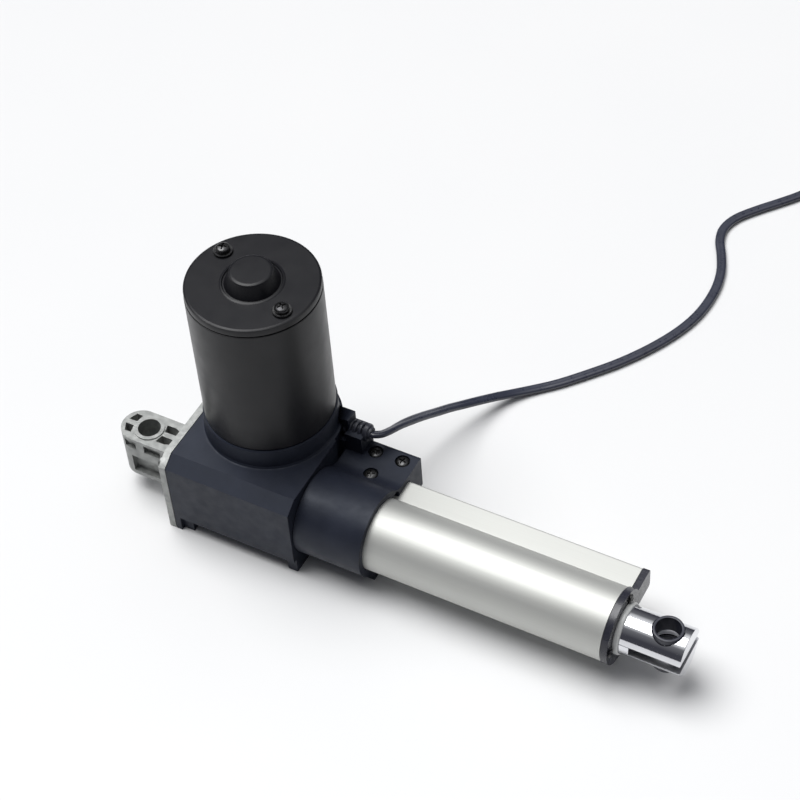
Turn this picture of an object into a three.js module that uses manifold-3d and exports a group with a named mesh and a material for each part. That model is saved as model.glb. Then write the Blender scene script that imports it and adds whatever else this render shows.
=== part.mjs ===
// Electric linear actuator: an upright worm-geared motor on a gearbox, which turns a lead screw
// inside a telescoping rod. Lengths are millimetres and angles radians.
// Layout frame: X along the rod towards the rod end with X = 0 on the motor axis, Y = 0 on the rod
// axis, Z = 0 on the surface that the gearbox stands on. The finished group is shifted so that its
// origin is the middle of the base of the actuator's box, with the cord left out.
import * as THREE from 'three';
import { mergeVertices } from 'three/addons/utils/BufferGeometryUtils.js';
import Module from 'manifold-3d';

const wasm = await Module();
wasm.setup();

// ---------------------------------------------------------------- driving dimensions

const GAP = 0.3;                 // clearance between two touching pieces

const ROD_AXIS_Z = 21;
const MOTOR_AXIS_Y = 20.9;

// gearbox housing
const HOUSING_REAR_X = -27.4;
const HOUSING_FRONT_X = 29.9;
const HOUSING_SIDE_Y = -19.6;
const HOUSING_TOP_Z = 41.4;
const HOUSING_BACK_RADIUS = 28;
const CHAMFER_WIDTH = 6.1;
const CHAMFER_HEIGHT = 4.1;
const SOCKET_RADIUS = 27.6;
const SOCKET_TOP_Z = 51.4;

// rear cover with the fixing eye
const PLATE_THICKNESS = 3;
const PLATE_BACK_Y = 32;
const EYE_X = -48.2;
const EYE_HALF_WIDTH = 8.3;
const EYE_NOSE_X = -60.9;
const EYE_BOTTOM_Z = 10;
const EYE_TOP_Z = 32.3;
const EYE_BORE_RADIUS = 4.8;

// motor
const MOTOR_RADIUS = 27;
const MOTOR_WALL = 1.6;
const MOTOR_CAN_TOP_Z = 116.2;
const MOTOR_TOP_Z = 119.8;
const MOTOR_BOSS_HEIGHT = 6;
const CAP_SCREW_PITCH_RADIUS = 20.8;
const CAP_SCREW_ANGLE = -0.46;

// worm and wheel
const GEAR_MODULE = 1.25;
const WHEEL_TEETH = 26;
const WHEEL_WIDTH = 10;
const TOOTH_CLEARANCE = 0.3;
const WORM_PITCH_RADIUS = 4.65;
const WHEEL_PITCH_RADIUS = MOTOR_AXIS_Y - WORM_PITCH_RADIUS;
const WORM_LEAD = Math.PI * GEAR_MODULE;

// lead screw, nut and rod
const SCREW_LEAD = 5;
const SCREW_RADIUS = 5;
const SCREW_ROOT_RADIUS = 3.6;
const SCREW_THREAD_START_X = 34;
const SCREW_THREAD_END_X = 152;
const NUT_REAR_X = 38;
const ROD_RADIUS = 9.8;
const ROD_BORE_RADIUS = 7.5;
const ROD_JOINT_X = 164;
const ROD_END_X = 193.7;
const ROD_PIN_X = 184.7;
const ROD_SLOT_START_X = 172.6;
const ROD_SLOT_HALF_HEIGHT = 2.2;
const BUSH_RADIUS = 6.2;
const BUSH_BORE_RADIUS = 5;
const BUSH_PROUD = 0.5;

// outer tube: a round bore with a flat channel along its back for the limit switches
const TUBE_START_X = 30.2;
const TUBE_END_X = 163.1;
const TUBE_RADIUS = 15.2;
const TUBE_BORE_RADIUS = 12.9;
const CHANNEL_BACK_Y = 25.4;
const CHANNEL_TOP_Z = 26.85;
const CHANNEL_BOTTOM_Z = 17.6;
const CHANNEL_WALL = 1.6;
const FRONT_CAP_THICKNESS = 2.8;

// collar
const COLLAR_START_X = 30.2;
const COLLAR_END_X = 60.3;
const COLLAR_RADIUS = 18.4;
const COLLAR_TOP_Z = 30.2;
const COLLAR_BACK_Y = 36.5;
const COLLAR_BOTTOM_Z = 13.5;
const CABLE_SHELF_END_X = 37.8;
const CABLE_SHELF_TOP_Z = 34.6;
const CABLE_SHELF_FRONT_Y = 27;

// cord: a flat two-core lead
const CORD_WIDTH = 4.4;
const CORD_THICKNESS = 2.6;
const CORD_FLOOR_Z = 1.55;
const RELIEF_Y = 32.5;
const RELIEF_Z = 38.4;
const RELIEF_END_X = 39;
const COIL_CENTRE = [174, 288];
const COIL_INNER_TURN = 26.5;
const COIL_OUTER_TURN = 31.1;
const COIL_TOP_Z = 5.7;

// ---------------------------------------------------------------- solids and shapes

function toSolid(geometry) {
  const bare = geometry.clone();
  bare.deleteAttribute('normal');
  bare.deleteAttribute('uv');
  const merged = mergeVertices(bare, 1e-4);
  const position = merged.getAttribute('position');
  const corners = [];
  let volume = 0;
  const [a, b, c] = [new THREE.Vector3(), new THREE.Vector3(), new THREE.Vector3()];
  for (let i = 0; i < merged.index.count; i += 3) {
    const triangle = [0, 1, 2].map((k) => merged.index.getX(i + k));
    if (new Set(triangle).size < 3) continue;
    corners.push(triangle);
    a.fromBufferAttribute(position, triangle[0]);
    b.fromBufferAttribute(position, triangle[1]);
    c.fromBufferAttribute(position, triangle[2]);
    volume += a.dot(b.cross(c));
  }
  const outward = volume < 0 ? corners.map(([p, q, r]) => [p, r, q]) : corners;
  return new wasm.Manifold(new wasm.Mesh({
    numProp: 3,
    vertProperties: Float32Array.from(position.array),
    triVerts: Uint32Array.from(outward.flat()),
  }));
}

function toGeometry(solid) {
  const mesh = solid.getMesh();
  const geometry = new THREE.BufferGeometry();
  geometry.setAttribute('position', new THREE.BufferAttribute(mesh.vertProperties, 3));
  geometry.setIndex(new THREE.BufferAttribute(mesh.triVerts, 1));
  geometry.computeVertexNormals();
  return geometry;
}

function block(x0, x1, y0, y1, z0, z1) {
  const box = new THREE.BoxGeometry(x1 - x0, y1 - y0, z1 - z0);
  return toSolid(box.translate((x0 + x1) / 2, (y0 + y1) / 2, (z0 + z1) / 2));
}

// A matrix that stands a shape drawn for local Z along X, Y or Z of the layout.
function facing(axis) {
  const [x, y, z] = [new THREE.Vector3(1, 0, 0), new THREE.Vector3(0, 1, 0), new THREE.Vector3(0, 0, 1)];
  const bases = { x: [y, z, x], y: [z, x, y], z: [x, y, z] };
  return new THREE.Matrix4().makeBasis(...bases[axis]);
}

// A lathed solid about an axis; profile points are [radius, distance along the axis].
function turned(axis, centre, profile, sides = 32) {
  const points = profile.map(([radius, along]) => new THREE.Vector2(radius, along));
  const lathe = new THREE.LatheGeometry([...points, points[0]], sides);
  lathe.rotateX(Math.PI / 2);
  return toSolid(lathe.applyMatrix4(facing(axis)).translate(...centre));
}

function cylinder(axis, centre, radius, from, to, sides = 32) {
  return turned(axis, centre, [[0, from], [radius, from], [radius, to], [0, to]], sides);
}

function ring(axis, centre, outer, inner, from, to, sides = 32) {
  return turned(axis, centre, [[inner, from], [outer, from], [outer, to], [inner, to]], sides);
}

// A closed outline pushed along an axis.
function prism(axis, outline, from, to, curveSegments = 10) {
  const options = { depth: to - from, bevelEnabled: false, curveSegments };
  const geometry = new THREE.ExtrudeGeometry(outline, options).translate(0, 0, from);
  return toSolid(geometry.applyMatrix4(facing(axis)));
}

function polygon(points) {
  return new THREE.Shape(points.map(([u, v]) => new THREE.Vector2(u, v)));
}

function roundedRectangle(u0, u1, v0, v1, radius) {
  const shape = new THREE.Shape();
  shape.moveTo(u0 + radius, v0);
  shape.absarc(u1 - radius, v0 + radius, radius, -Math.PI / 2, 0);
  shape.absarc(u1 - radius, v1 - radius, radius, 0, Math.PI / 2);
  shape.absarc(u0 + radius, v1 - radius, radius, Math.PI / 2, Math.PI);
  shape.absarc(u0 + radius, v0 + radius, radius, Math.PI, 1.5 * Math.PI);
  return shape;
}

function union(first, ...others) {
  return others.reduce((whole, solid) => whole.add(solid), first);
}

function cut(first, ...tools) {
  return tools.reduce((whole, tool) => whole.subtract(tool), first);
}

// A right-handed threaded bar about Z. Its rows of points follow the helix: root, root, crest, crest
// in each turn, and the top of one turn is the bottom of the next. The ends are then cut flat.
function threadedBar({ root, crest, rootWidth, crestWidth, lead, phase = 0, from, to, steps = 12 }) {
  const flank = (lead - rootWidth - crestWidth) / 2;
  const heights = [0, rootWidth, rootWidth + flank, rootWidth + flank + crestWidth];
  const radii = [root, root, crest, crest];
  const first = from - 2 * lead - ((((from - phase) % lead) + lead) % lead);
  const last = steps * (Math.ceil((to - first) / lead) + 1);
  const vertices = [];
  for (let step = 0; step <= last; step += 1) {
    const angle = (2 * Math.PI * step) / steps;
    for (let row = 0; row < 4; row += 1) {
      const along = first + heights[row] + (lead * step) / steps;
      vertices.push(radii[row] * Math.cos(angle), radii[row] * Math.sin(angle), along);
    }
  }
  const at = (step, row) => (row < 4 ? step * 4 + row : (step + steps) * 4);
  const triangles = [];
  for (let step = 0; step < last; step += 1) {
    const rows = step + steps < last ? 4 : 3;
    for (let row = 0; row < rows; row += 1) {
      triangles.push(at(step, row), at(step + 1, row), at(step + 1, row + 1));
      triangles.push(at(step, row), at(step + 1, row + 1), at(step, row + 1));
    }
  }
  const lowLoop = [];
  const highLoop = [];
  for (let step = 0; step <= steps; step += 1) {
    lowLoop.push(at(step, 0));
    highLoop.push(at(last - step, 3));
  }
  lowLoop.push(at(0, 3), at(0, 2), at(0, 1));
  highLoop.push(at(last, 0), at(last, 1), at(last, 2));
  const ends = [[lowLoop, first], [highLoop, first + lead * (last / steps + 1)]];
  for (const [loop, along] of ends) {
    const centre = vertices.length / 3;
    vertices.push(0, 0, along);
    loop.forEach((point, i) => triangles.push(loop[(i + 1) % loop.length], point, centre));
  }
  const geometry = new THREE.BufferGeometry();
  geometry.setAttribute('position', new THREE.Float32BufferAttribute(vertices, 3));
  geometry.setIndex(triangles);
  const reach = crest + 1;
  return toSolid(geometry).intersect(block(-reach, reach, -reach, reach, from, to));
}

// ---------------------------------------------------------------- shared places and outlines

const ROD_LINE = [0, 0, ROD_AXIS_Z];
const MOTOR_LINE = [0, MOTOR_AXIS_Y, 0];

function place(solid, axis, centre) {
  return toSolid(toGeometry(solid).applyMatrix4(facing(axis)).translate(...centre));
}

// The gearbox's outline seen along the rod: flat top and base, with the near top edge chamfered.
function gearboxOutline(backY) {
  return polygon([
    [backY, 0],
    [backY, HOUSING_TOP_Z],
    [HOUSING_SIDE_Y + CHAMFER_WIDTH, HOUSING_TOP_Z],
    [HOUSING_SIDE_Y, HOUSING_TOP_Z - CHAMFER_HEIGHT],
    [HOUSING_SIDE_Y, 0],
  ]);
}

// The tube's outline as a solid, grown by a margin: a round bar joined to the switch channel.
function tubeOutline(margin, from, to) {
  const round = cylinder('x', ROD_LINE, TUBE_RADIUS + margin, from, to, 48);
  const backY = CHANNEL_BACK_Y + margin;
  return round.add(
    block(from, to, 0, backY, CHANNEL_BOTTOM_Z - margin, CHANNEL_TOP_Z + margin));
}

// Points on a circle about the rod's axis, as centres for pieces that lie along X.
function aroundRod(radius, degrees) {
  return degrees.map((angle) => {
    const turn = THREE.MathUtils.degToRad(angle);
    return [0, radius * Math.cos(turn), ROD_AXIS_Z + radius * Math.sin(turn)];
  });
}

const CAP_SCREW_CENTRES = aroundRod(12.9, [63, 183, 303]);
const COVER_SCREW_CENTRES = [[-15.2, 5.6], [-15.2, 35.4], [27, 6], [27, 36]].map(([y, z]) => [0, y, z]);
const COLLAR_SCREW_CENTRES = [[42.1, 30.7, 0], [54.3, 30.9, 0], [45.8, 19.5, 0]];
const MOTOR_SCREW_CENTRES = [0, Math.PI].map((half) => [
  CAP_SCREW_PITCH_RADIUS * Math.cos(CAP_SCREW_ANGLE + half),
  MOTOR_AXIS_Y + CAP_SCREW_PITCH_RADIUS * Math.sin(CAP_SCREW_ANGLE + half),
  0,
]);

// Pan-head screw along an axis: `seat` is where the head's underside is, `side` is +1 when the head
// lies on the axis's positive side. The head carries a cross recess.
function panScrew(axis, centre, { seat, side, head, height, shank, length }) {
  const s = (distance) => seat + side * distance;
  const body = turned(axis, centre, [
    [0, s(-length)], [shank, s(-length)], [shank, s(0)], [head, s(0)], [head, s(height * 0.45)],
    [head * 0.8, s(height * 0.85)], [head * 0.45, s(height)], [0, s(height)],
  ], 16);
  const [arm, half] = [head * 0.55, head * 0.13];
  const depths = [s(height * 0.4), s(height + 1)].sort((p, q) => p - q);
  const bars = [[arm, half], [half, arm]].map(([u, v]) => {
    const bar = block(-u, u, -v, v, ...depths);
    return place(bar, axis, centre);
  });
  return cut(body, ...bars);
}

// ---------------------------------------------------------------- gearbox

function gearboxHousing() {
  const body = union(
    prism('x', gearboxOutline(MOTOR_AXIS_Y), HOUSING_REAR_X, HOUSING_FRONT_X),
    block(HOUSING_REAR_X, 0, MOTOR_AXIS_Y - 1, PLATE_BACK_Y, 0, HOUSING_TOP_Z),
    cylinder('z', MOTOR_LINE, HOUSING_BACK_RADIUS, 0, HOUSING_TOP_Z, 48)
      .intersect(block(HOUSING_REAR_X, 40, -20, 60, -1, 60)),
    cylinder('z', MOTOR_LINE, SOCKET_RADIUS, HOUSING_TOP_Z - 2, SOCKET_TOP_Z, 48)
      .intersect(block(HOUSING_REAR_X, 40, -20, 60, -1, 60)),
    block(12, HOUSING_FRONT_X, CABLE_SHELF_FRONT_Y, COLLAR_BACK_Y, COLLAR_BOTTOM_Z, CABLE_SHELF_TOP_Z),
  );
  const wheelChamber = cylinder('x', ROD_LINE, 18.1, HOUSING_REAR_X - 1, 9, 40);
  const bearingBore = cylinder('x', ROD_LINE, 13.3, 8, 18.6, 32);
  const frontBore = cylinder('x', ROD_LINE, 10.5, 18, 31, 32);
  const wormBore = cylinder('z', MOTOR_LINE, 6.6, 9.3, 44, 24);
  const tailBore = cylinder('z', MOTOR_LINE, 4.8, 3.5, 10, 24);
  const motorPilot = cylinder('z', MOTOR_LINE, 24.7, 43, SOCKET_TOP_Z + 1, 40);
  const reliefSlot = block(23.4, 31, 29.5, 35.5, CABLE_SHELF_TOP_Z - 0.1, 45);
  const baseRecess = block(-24.8, 31, HOUSING_SIDE_Y - 1, HOUSING_SIDE_Y + 1.8, -1, 7.6)
    .add(block(-19.9, 25.5, HOUSING_SIDE_Y - 1, HOUSING_SIDE_Y + 5, -1, 7.6));
  const screwHoles = COVER_SCREW_CENTRES.map((centre) => (
    cylinder('x', centre, 1.8, HOUSING_REAR_X - 1, -20.2, 12)));
  return cut(body, wheelChamber, bearingBore, frontBore, wormBore, tailBore, motorPilot,
    reliefSlot, baseRecess, ...screwHoles);
}

function mirroredPockets(outline, from, to) {
  const other = outline.map(([x, y]) => [x, -y]).reverse();
  return [outline, other].map((points) => prism('z', polygon(points), from, to));
}

function rearCover() {
  const plateFront = HOUSING_REAR_X - GAP;
  const plateRear = plateFront - PLATE_THICKNESS;
  const noseCentre = EYE_NOSE_X + EYE_HALF_WIDTH;
  const plan = new THREE.Shape();
  plan.moveTo(plateRear + 1, -EYE_HALF_WIDTH);
  plan.lineTo(plateRear + 1, EYE_HALF_WIDTH);
  plan.lineTo(noseCentre, EYE_HALF_WIDTH);
  plan.absarc(noseCentre, 0, EYE_HALF_WIDTH, Math.PI / 2, 1.5 * Math.PI);
  const eye = [EYE_X, 0, 0];
  const body = union(
    prism('x', gearboxOutline(PLATE_BACK_Y), plateRear, plateFront),
    ring('x', ROD_LINE, 17.7, 13.3, plateFront - 1, -10.4, 40),
    ring('x', ROD_LINE, 17.7, 9, plateFront - 1, -18.4, 40),
    prism('z', plan, EYE_BOTTOM_Z, EYE_TOP_Z, 12),
    cylinder('z', eye, 6.4, EYE_BOTTOM_Z - 0.6, EYE_TOP_Z + 0.6, 24),
  );
  const nosePocket = [[-59, 1.2], [-55.2, 1.2], [-54.4, 4.9], [-57.4, 4.9]];
  const rootPocket = [[-41.4, 1.2], [-35.8, 1.2], [-35.9, 4], [-37.9, 4.8], [-42.3, 4.8]];
  const depth = 5;
  const pockets = [nosePocket, rootPocket].flatMap((outline) => [
    ...mirroredPockets(outline, EYE_TOP_Z - depth, EYE_TOP_Z + 1),
    ...mirroredPockets(outline, EYE_BOTTOM_Z - 1, EYE_BOTTOM_Z + depth),
  ]);
  const sideRecesses = [-1, 1].flatMap((side) => {
    const span = (inner) => [side * inner, side * (EYE_HALF_WIDTH + 1)].sort((p, q) => p - q);
    return [
      block(-56.1, -50.4, ...span(6.4), 26.3, 30.6),
      block(-46.5, -38.4, ...span(6.4), 26.3, 30.6),
      block(-53.5, -36, ...span(5.6), EYE_BOTTOM_Z + 2.2, 21.6),
    ];
  });
  const screwHoles = COVER_SCREW_CENTRES.map((centre) => (
    cylinder('x', centre, 1.8, plateRear - 1, plateFront + 1, 12)));
  const pinBore = cylinder('z', eye, EYE_BORE_RADIUS, 0, 40, 24);
  return cut(body, pinBore, ...pockets, ...sideRecesses, ...screwHoles);
}

function rearCoverScrews() {
  const seat = HOUSING_REAR_X - 2 * GAP - PLATE_THICKNESS;
  return COVER_SCREW_CENTRES.map((centre) => panScrew('x', centre,
    { seat, side: -1, head: 3, height: 2, shank: 1.5, length: 10.2 }));
}

// Helical worm wheel: a ring of trapezoid teeth, twisted along X to lie in the worm's thread.
function wormWheel() {
  const half = WHEEL_WIDTH / 2;
  const pressure = Math.tan(THREE.MathUtils.degToRad(20));
  const tipRadius = WHEEL_PITCH_RADIUS + GEAR_MODULE;
  const rootRadius = WHEEL_PITCH_RADIUS - 1.25 * GEAR_MODULE;
  const pitchThickness = WORM_LEAD / 2 - TOOTH_CLEARANCE;
  const tip = pitchThickness / 2 - pressure * GEAR_MODULE;
  const root = pitchThickness / 2 + pressure * 1.25 * GEAR_MODULE;
  const points = [];
  for (let tooth = 0; tooth < WHEEL_TEETH; tooth += 1) {
    const turn = (2 * Math.PI * tooth) / WHEEL_TEETH;
    const corners = [[rootRadius, -root], [tipRadius, -tip], [tipRadius, tip], [rootRadius, root]];
    for (const [radius, offset] of corners) {
      const angle = turn + offset / radius;
      points.push([radius * Math.cos(angle), radius * Math.sin(angle)]);
    }
  }
  const options = { depth: WHEEL_WIDTH, bevelEnabled: false, steps: 2 };
  const teeth = new THREE.ExtrudeGeometry(polygon(points), options).translate(0, 0, -half);
  const twistPerLength = WORM_LEAD / (2 * Math.PI * WORM_PITCH_RADIUS) / WHEEL_PITCH_RADIUS;
  const position = teeth.getAttribute('position');
  const vertex = new THREE.Vector3();
  for (let i = 0; i < position.count; i += 1) {
    vertex.fromBufferAttribute(position, i);
    vertex.applyAxisAngle(new THREE.Vector3(0, 0, 1), vertex.z * twistPerLength);
    position.setXYZ(i, vertex.x, vertex.y, vertex.z);
  }
  const hub = cylinder('z', [0, 0, 0], 9, -10.2, 10.2, 24);
  const bore = cylinder('z', [0, 0, 0], SCREW_RADIUS + GAP, -11, 11, 24);
  return place(cut(toSolid(teeth).add(hub), bore), 'x', ROD_LINE);
}

function bearing(from, to) {
  return ring('x', ROD_LINE, 13, SCREW_RADIUS + GAP, from, to);
}

// ---------------------------------------------------------------- lead screw, nut and rod

const SCREW_THREAD = { rootWidth: 1.6, crestWidth: 1.4, lead: SCREW_LEAD };

function leadScrew() {
  const thread = threadedBar({
    ...SCREW_THREAD,
    root: SCREW_ROOT_RADIUS,
    crest: SCREW_RADIUS,
    from: SCREW_THREAD_START_X,
    to: SCREW_THREAD_END_X,
    steps: 10,
  });
  const journal = cylinder('z', [0, 0, 0], SCREW_RADIUS, -22, SCREW_THREAD_START_X + 0.5, 24);
  return place(thread.add(journal), 'x', ROD_LINE);
}

function driveNut() {
  const flangeEnd = NUT_REAR_X + 10;
  const bodyEnd = NUT_REAR_X + 26;
  const threadEnd = NUT_REAR_X + 16;
  const body = union(
    cylinder('x', ROD_LINE, 10.7, NUT_REAR_X, flangeEnd),
    cylinder('x', ROD_LINE, ROD_BORE_RADIUS - GAP, NUT_REAR_X + 1, bodyEnd),
    block(NUT_REAR_X + 1, flangeEnd - 1, 8, 14.6, ROD_AXIS_Z - 1.4, ROD_AXIS_Z + 2),
  );
  const tap = threadedBar({
    root: SCREW_ROOT_RADIUS + GAP,
    crest: SCREW_RADIUS + GAP,
    rootWidth: SCREW_THREAD.rootWidth - 2 * GAP,
    crestWidth: SCREW_THREAD.crestWidth + 2 * GAP,
    lead: SCREW_LEAD,
    phase: GAP,
    from: NUT_REAR_X - 1,
    to: threadEnd,
    steps: 14,
  });
  const relief = cylinder('x', ROD_LINE, 6, threadEnd - 0.5, bodyEnd + 1, 24);
  return cut(body, place(tap, 'x', ROD_LINE), relief);
}

function rodTube() {
  const from = NUT_REAR_X + 10 + GAP;
  return ring('x', ROD_LINE, ROD_RADIUS, ROD_BORE_RADIUS, from, ROD_JOINT_X - GAP, 40);
}

function rodEnd() {
  const body = turned('x', ROD_LINE, [
    [0, ROD_JOINT_X - 10], [ROD_BORE_RADIUS - GAP, ROD_JOINT_X - 10],
    [ROD_BORE_RADIUS - GAP, ROD_JOINT_X], [ROD_RADIUS, ROD_JOINT_X],
    [ROD_RADIUS, ROD_END_X - 0.4], [ROD_RADIUS - 0.4, ROD_END_X], [0, ROD_END_X],
  ], 40);
  const slot = block(ROD_SLOT_START_X, ROD_END_X + 1, -11, 11,
    ROD_AXIS_Z - ROD_SLOT_HALF_HEIGHT, ROD_AXIS_Z + ROD_SLOT_HALF_HEIGHT);
  const pin = cylinder('z', [ROD_PIN_X, 0, 0], BUSH_RADIUS + GAP, 5, 40, 32);
  return cut(body, slot, pin);
}

function pinBush(side) {
  const reach = [ROD_SLOT_HALF_HEIGHT + GAP, ROD_RADIUS + BUSH_PROUD];
  const [from, to] = reach.map((z) => ROD_AXIS_Z + side * z).sort((p, q) => p - q);
  return ring('z', [ROD_PIN_X, 0, 0], BUSH_RADIUS, BUSH_BORE_RADIUS, from, to, 32);
}

// ---------------------------------------------------------------- outer tube, cap and switches

function outerTube() {
  const cavity = union(
    cylinder('x', ROD_LINE, TUBE_BORE_RADIUS, TUBE_START_X - 1, TUBE_END_X + 1, 32),
    block(TUBE_START_X - 1, TUBE_END_X + 1, 9, CHANNEL_BACK_Y - CHANNEL_WALL,
      CHANNEL_BOTTOM_Z + CHANNEL_WALL, CHANNEL_TOP_Z - CHANNEL_WALL),
  );
  const ribs = CAP_SCREW_CENTRES.map((centre) => (
    cylinder('x', centre, 1.9, TUBE_START_X, TUBE_END_X, 12)));
  const holes = CAP_SCREW_CENTRES.map((centre) => (
    cylinder('x', centre, 1.1, TUBE_END_X - 11, TUBE_END_X + 1, 12)));
  const wall = cut(tubeOutline(0, TUBE_START_X, TUBE_END_X), cavity);
  return cut(union(wall, ...ribs), ...holes);
}

function frontCap() {
  const from = TUBE_END_X + GAP;
  const to = from + FRONT_CAP_THICKNESS;
  const holes = CAP_SCREW_CENTRES.map((centre) => cylinder('x', centre, 1.1, from - 1, to + 1, 12));
  const bore = cylinder('x', ROD_LINE, 10.7, from - 1, to + 1, 40);
  return cut(tubeOutline(0.4, from, to), bore, ...holes);
}

function frontCapScrews() {
  const seat = TUBE_END_X + 2 * GAP + FRONT_CAP_THICKNESS;
  return CAP_SCREW_CENTRES.map((centre) => panScrew('x', centre,
    { seat, side: 1, head: 1.8, height: 0.9, shank: 0.8, length: 12 }));
}

// The wiper's lip stands out of the front cap round the rod.
function wiperSeal() {
  const from = TUBE_END_X + GAP;
  const face = from + FRONT_CAP_THICKNESS;
  const inner = ROD_RADIUS + 0.1;
  return turned('x', ROD_LINE, [
    [inner, from], [10.4, from], [10.4, face + 0.3], [10.8, face + 0.3], [10.8, face + 1.7],
    [10.3, face + 2.3], [inner, face + 2.3],
  ], 40);
}

function rodGuide() {
  const grooves = CAP_SCREW_CENTRES.map((centre) => (
    cylinder('x', centre, 2.2, TUBE_END_X - 20, TUBE_END_X + 1, 12)));
  return cut(ring('x', ROD_LINE, 12.6, ROD_RADIUS + 0.1, TUBE_END_X - 13.5, TUBE_END_X, 32), ...grooves);
}

function switchBoard() {
  return block(36, 152, 14.9, 23.4, 23.9, 24.9);
}

function limitSwitch(from) {
  return block(from, from + 8, 16.4, 22.6, 19.6, 23.6);
}

// ---------------------------------------------------------------- collar

function collarOutline() {
  const radius = COLLAR_RADIUS;
  const fillet = 9;
  const corner = 2;
  const rise = COLLAR_TOP_Z - ROD_AXIS_Z;
  const filletY = Math.sqrt((radius + fillet) ** 2 - (rise + fillet) ** 2);
  const filletTurn = Math.atan2(rise + fillet, filletY);
  const drop = COLLAR_BOTTOM_Z - ROD_AXIS_Z;
  const outline = new THREE.Shape();
  outline.moveTo(filletY, rise);
  outline.lineTo(COLLAR_BACK_Y - corner, rise);
  outline.absarc(COLLAR_BACK_Y - corner, rise - corner, corner, Math.PI / 2, 0, true);
  outline.lineTo(COLLAR_BACK_Y, drop + corner);
  outline.absarc(COLLAR_BACK_Y - corner, drop + corner, corner, 0, -Math.PI / 2, true);
  outline.lineTo(Math.sqrt(radius ** 2 - drop ** 2), drop);
  outline.absarc(0, 0, radius, Math.asin(drop / radius), filletTurn - 2 * Math.PI, true);
  outline.absarc(filletY, rise + fillet, fillet, filletTurn + Math.PI, 1.5 * Math.PI, false);
  return outline;
}

function collar() {
  const shell = prism('x', collarOutline(), COLLAR_START_X, COLLAR_END_X, 24);
  const body = union(
    toSolid(toGeometry(shell).translate(0, 0, ROD_AXIS_Z)),
    block(COLLAR_START_X, CABLE_SHELF_END_X, CABLE_SHELF_FRONT_Y, COLLAR_BACK_Y,
      COLLAR_TOP_Z - 3, CABLE_SHELF_TOP_Z),
    block(COLLAR_END_X - 6.5, COLLAR_END_X, -8, 8, 0, 6),
  );
  const wiring = block(COLLAR_START_X - 1, COLLAR_END_X - 3, CHANNEL_BACK_Y - 1, COLLAR_BACK_Y - 2.4,
    COLLAR_BOTTOM_Z + 2.4, COLLAR_TOP_Z - 2.6);
  const notch = cylinder('x', [0, 13.9, CHANNEL_TOP_Z + 2], 2.6, COLLAR_END_X - 4, COLLAR_END_X + 1, 16);
  const posts = COLLAR_SCREW_CENTRES.slice(0, 2).map((centre) => (
    cylinder('z', centre, 3, COLLAR_BOTTOM_Z + 1, COLLAR_TOP_Z - 2, 16)));
  const sinks = COLLAR_SCREW_CENTRES.map((centre) => (
    cylinder('z', centre, 3.2, COLLAR_TOP_Z - 1.6, COLLAR_TOP_Z + 1, 20)));
  const [longHole, shortHole] = [[20, 30], [26, 30]];
  const holes = COLLAR_SCREW_CENTRES.map((centre, i) => (
    cylinder('z', centre, 1.5, ...(i < 2 ? longHole : shortHole), 12)));
  const hollow = cut(body, tubeOutline(GAP, COLLAR_START_X - 1, COLLAR_END_X + 1), wiring, notch);
  return cut(union(hollow, ...posts), ...sinks, ...holes);
}

function collarScrews() {
  const seat = COLLAR_TOP_Z - 1.6 + GAP;
  return COLLAR_SCREW_CENTRES.map((centre, i) => panScrew('z', centre,
    { seat, side: 1, head: 2.8, height: 1.7, shank: 1.2, length: i < 2 ? 8 : 1.6 }));
}

// ---------------------------------------------------------------- motor

function motorFrontPlate() {
  return ring('z', MOTOR_LINE, 24.3, 9.9, 43.4, 50.9, 40);
}

function motorBearing(outer, from, to) {
  return ring('z', MOTOR_LINE, outer, 3.3, from, to, 24);
}

function motorCan() {
  return ring('z', MOTOR_LINE, MOTOR_RADIUS, MOTOR_RADIUS - MOTOR_WALL,
    SOCKET_TOP_Z + GAP, MOTOR_CAN_TOP_Z, 64);
}

function motorMagnet(side) {
  const arc = ring('z', MOTOR_LINE, MOTOR_RADIUS - MOTOR_WALL - GAP, 20.6, 57, 105, 40);
  const [x0, x1] = [side * 6, side * 30].sort((p, q) => p - q);
  return arc.intersect(block(x0, x1, -10, 50, 50, 110));
}

function armatureCore() {
  const slots = 12;
  const points = [];
  for (let slot = 0; slot < slots; slot += 1) {
    const turn = (2 * Math.PI * slot) / slots;
    const corners = [[20, 0.03], [13, 0.05], [13, 0.2], [20, 0.08], [20, 0.3]];
    for (const [radius, offset] of corners) {
      const angle = turn + offset;
      points.push([radius * Math.cos(angle), radius * Math.sin(angle)]);
    }
  }
  const stack = prism('z', polygon(points), 62, 98);
  return cut(place(stack, 'z', MOTOR_LINE), cylinder('z', MOTOR_LINE, 3.3, 61, 99, 24));
}

function armatureWindings() {
  const endTurn = (from, to) => turned('z', MOTOR_LINE, [
    [6, from], [15.5, from], [17.8, (from + to) / 2], [15.5, to], [6, to],
  ], 24);
  return [endTurn(55.8, 61.7), endTurn(98.3, 103.8)];
}

function commutator() {
  return ring('z', MOTOR_LINE, 8, 3.3, 104.5, 113, 24);
}

function brush(side) {
  const [x0, x1] = [side * 8.4, side * 15].sort((p, q) => p - q);
  return block(x0, x1, MOTOR_AXIS_Y - 2.5, MOTOR_AXIS_Y + 2.5, 106.5, 110.9);
}

function brushCard() {
  return ring('z', MOTOR_LINE, 25, 10, 111.2, 112.8, 32);
}

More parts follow.
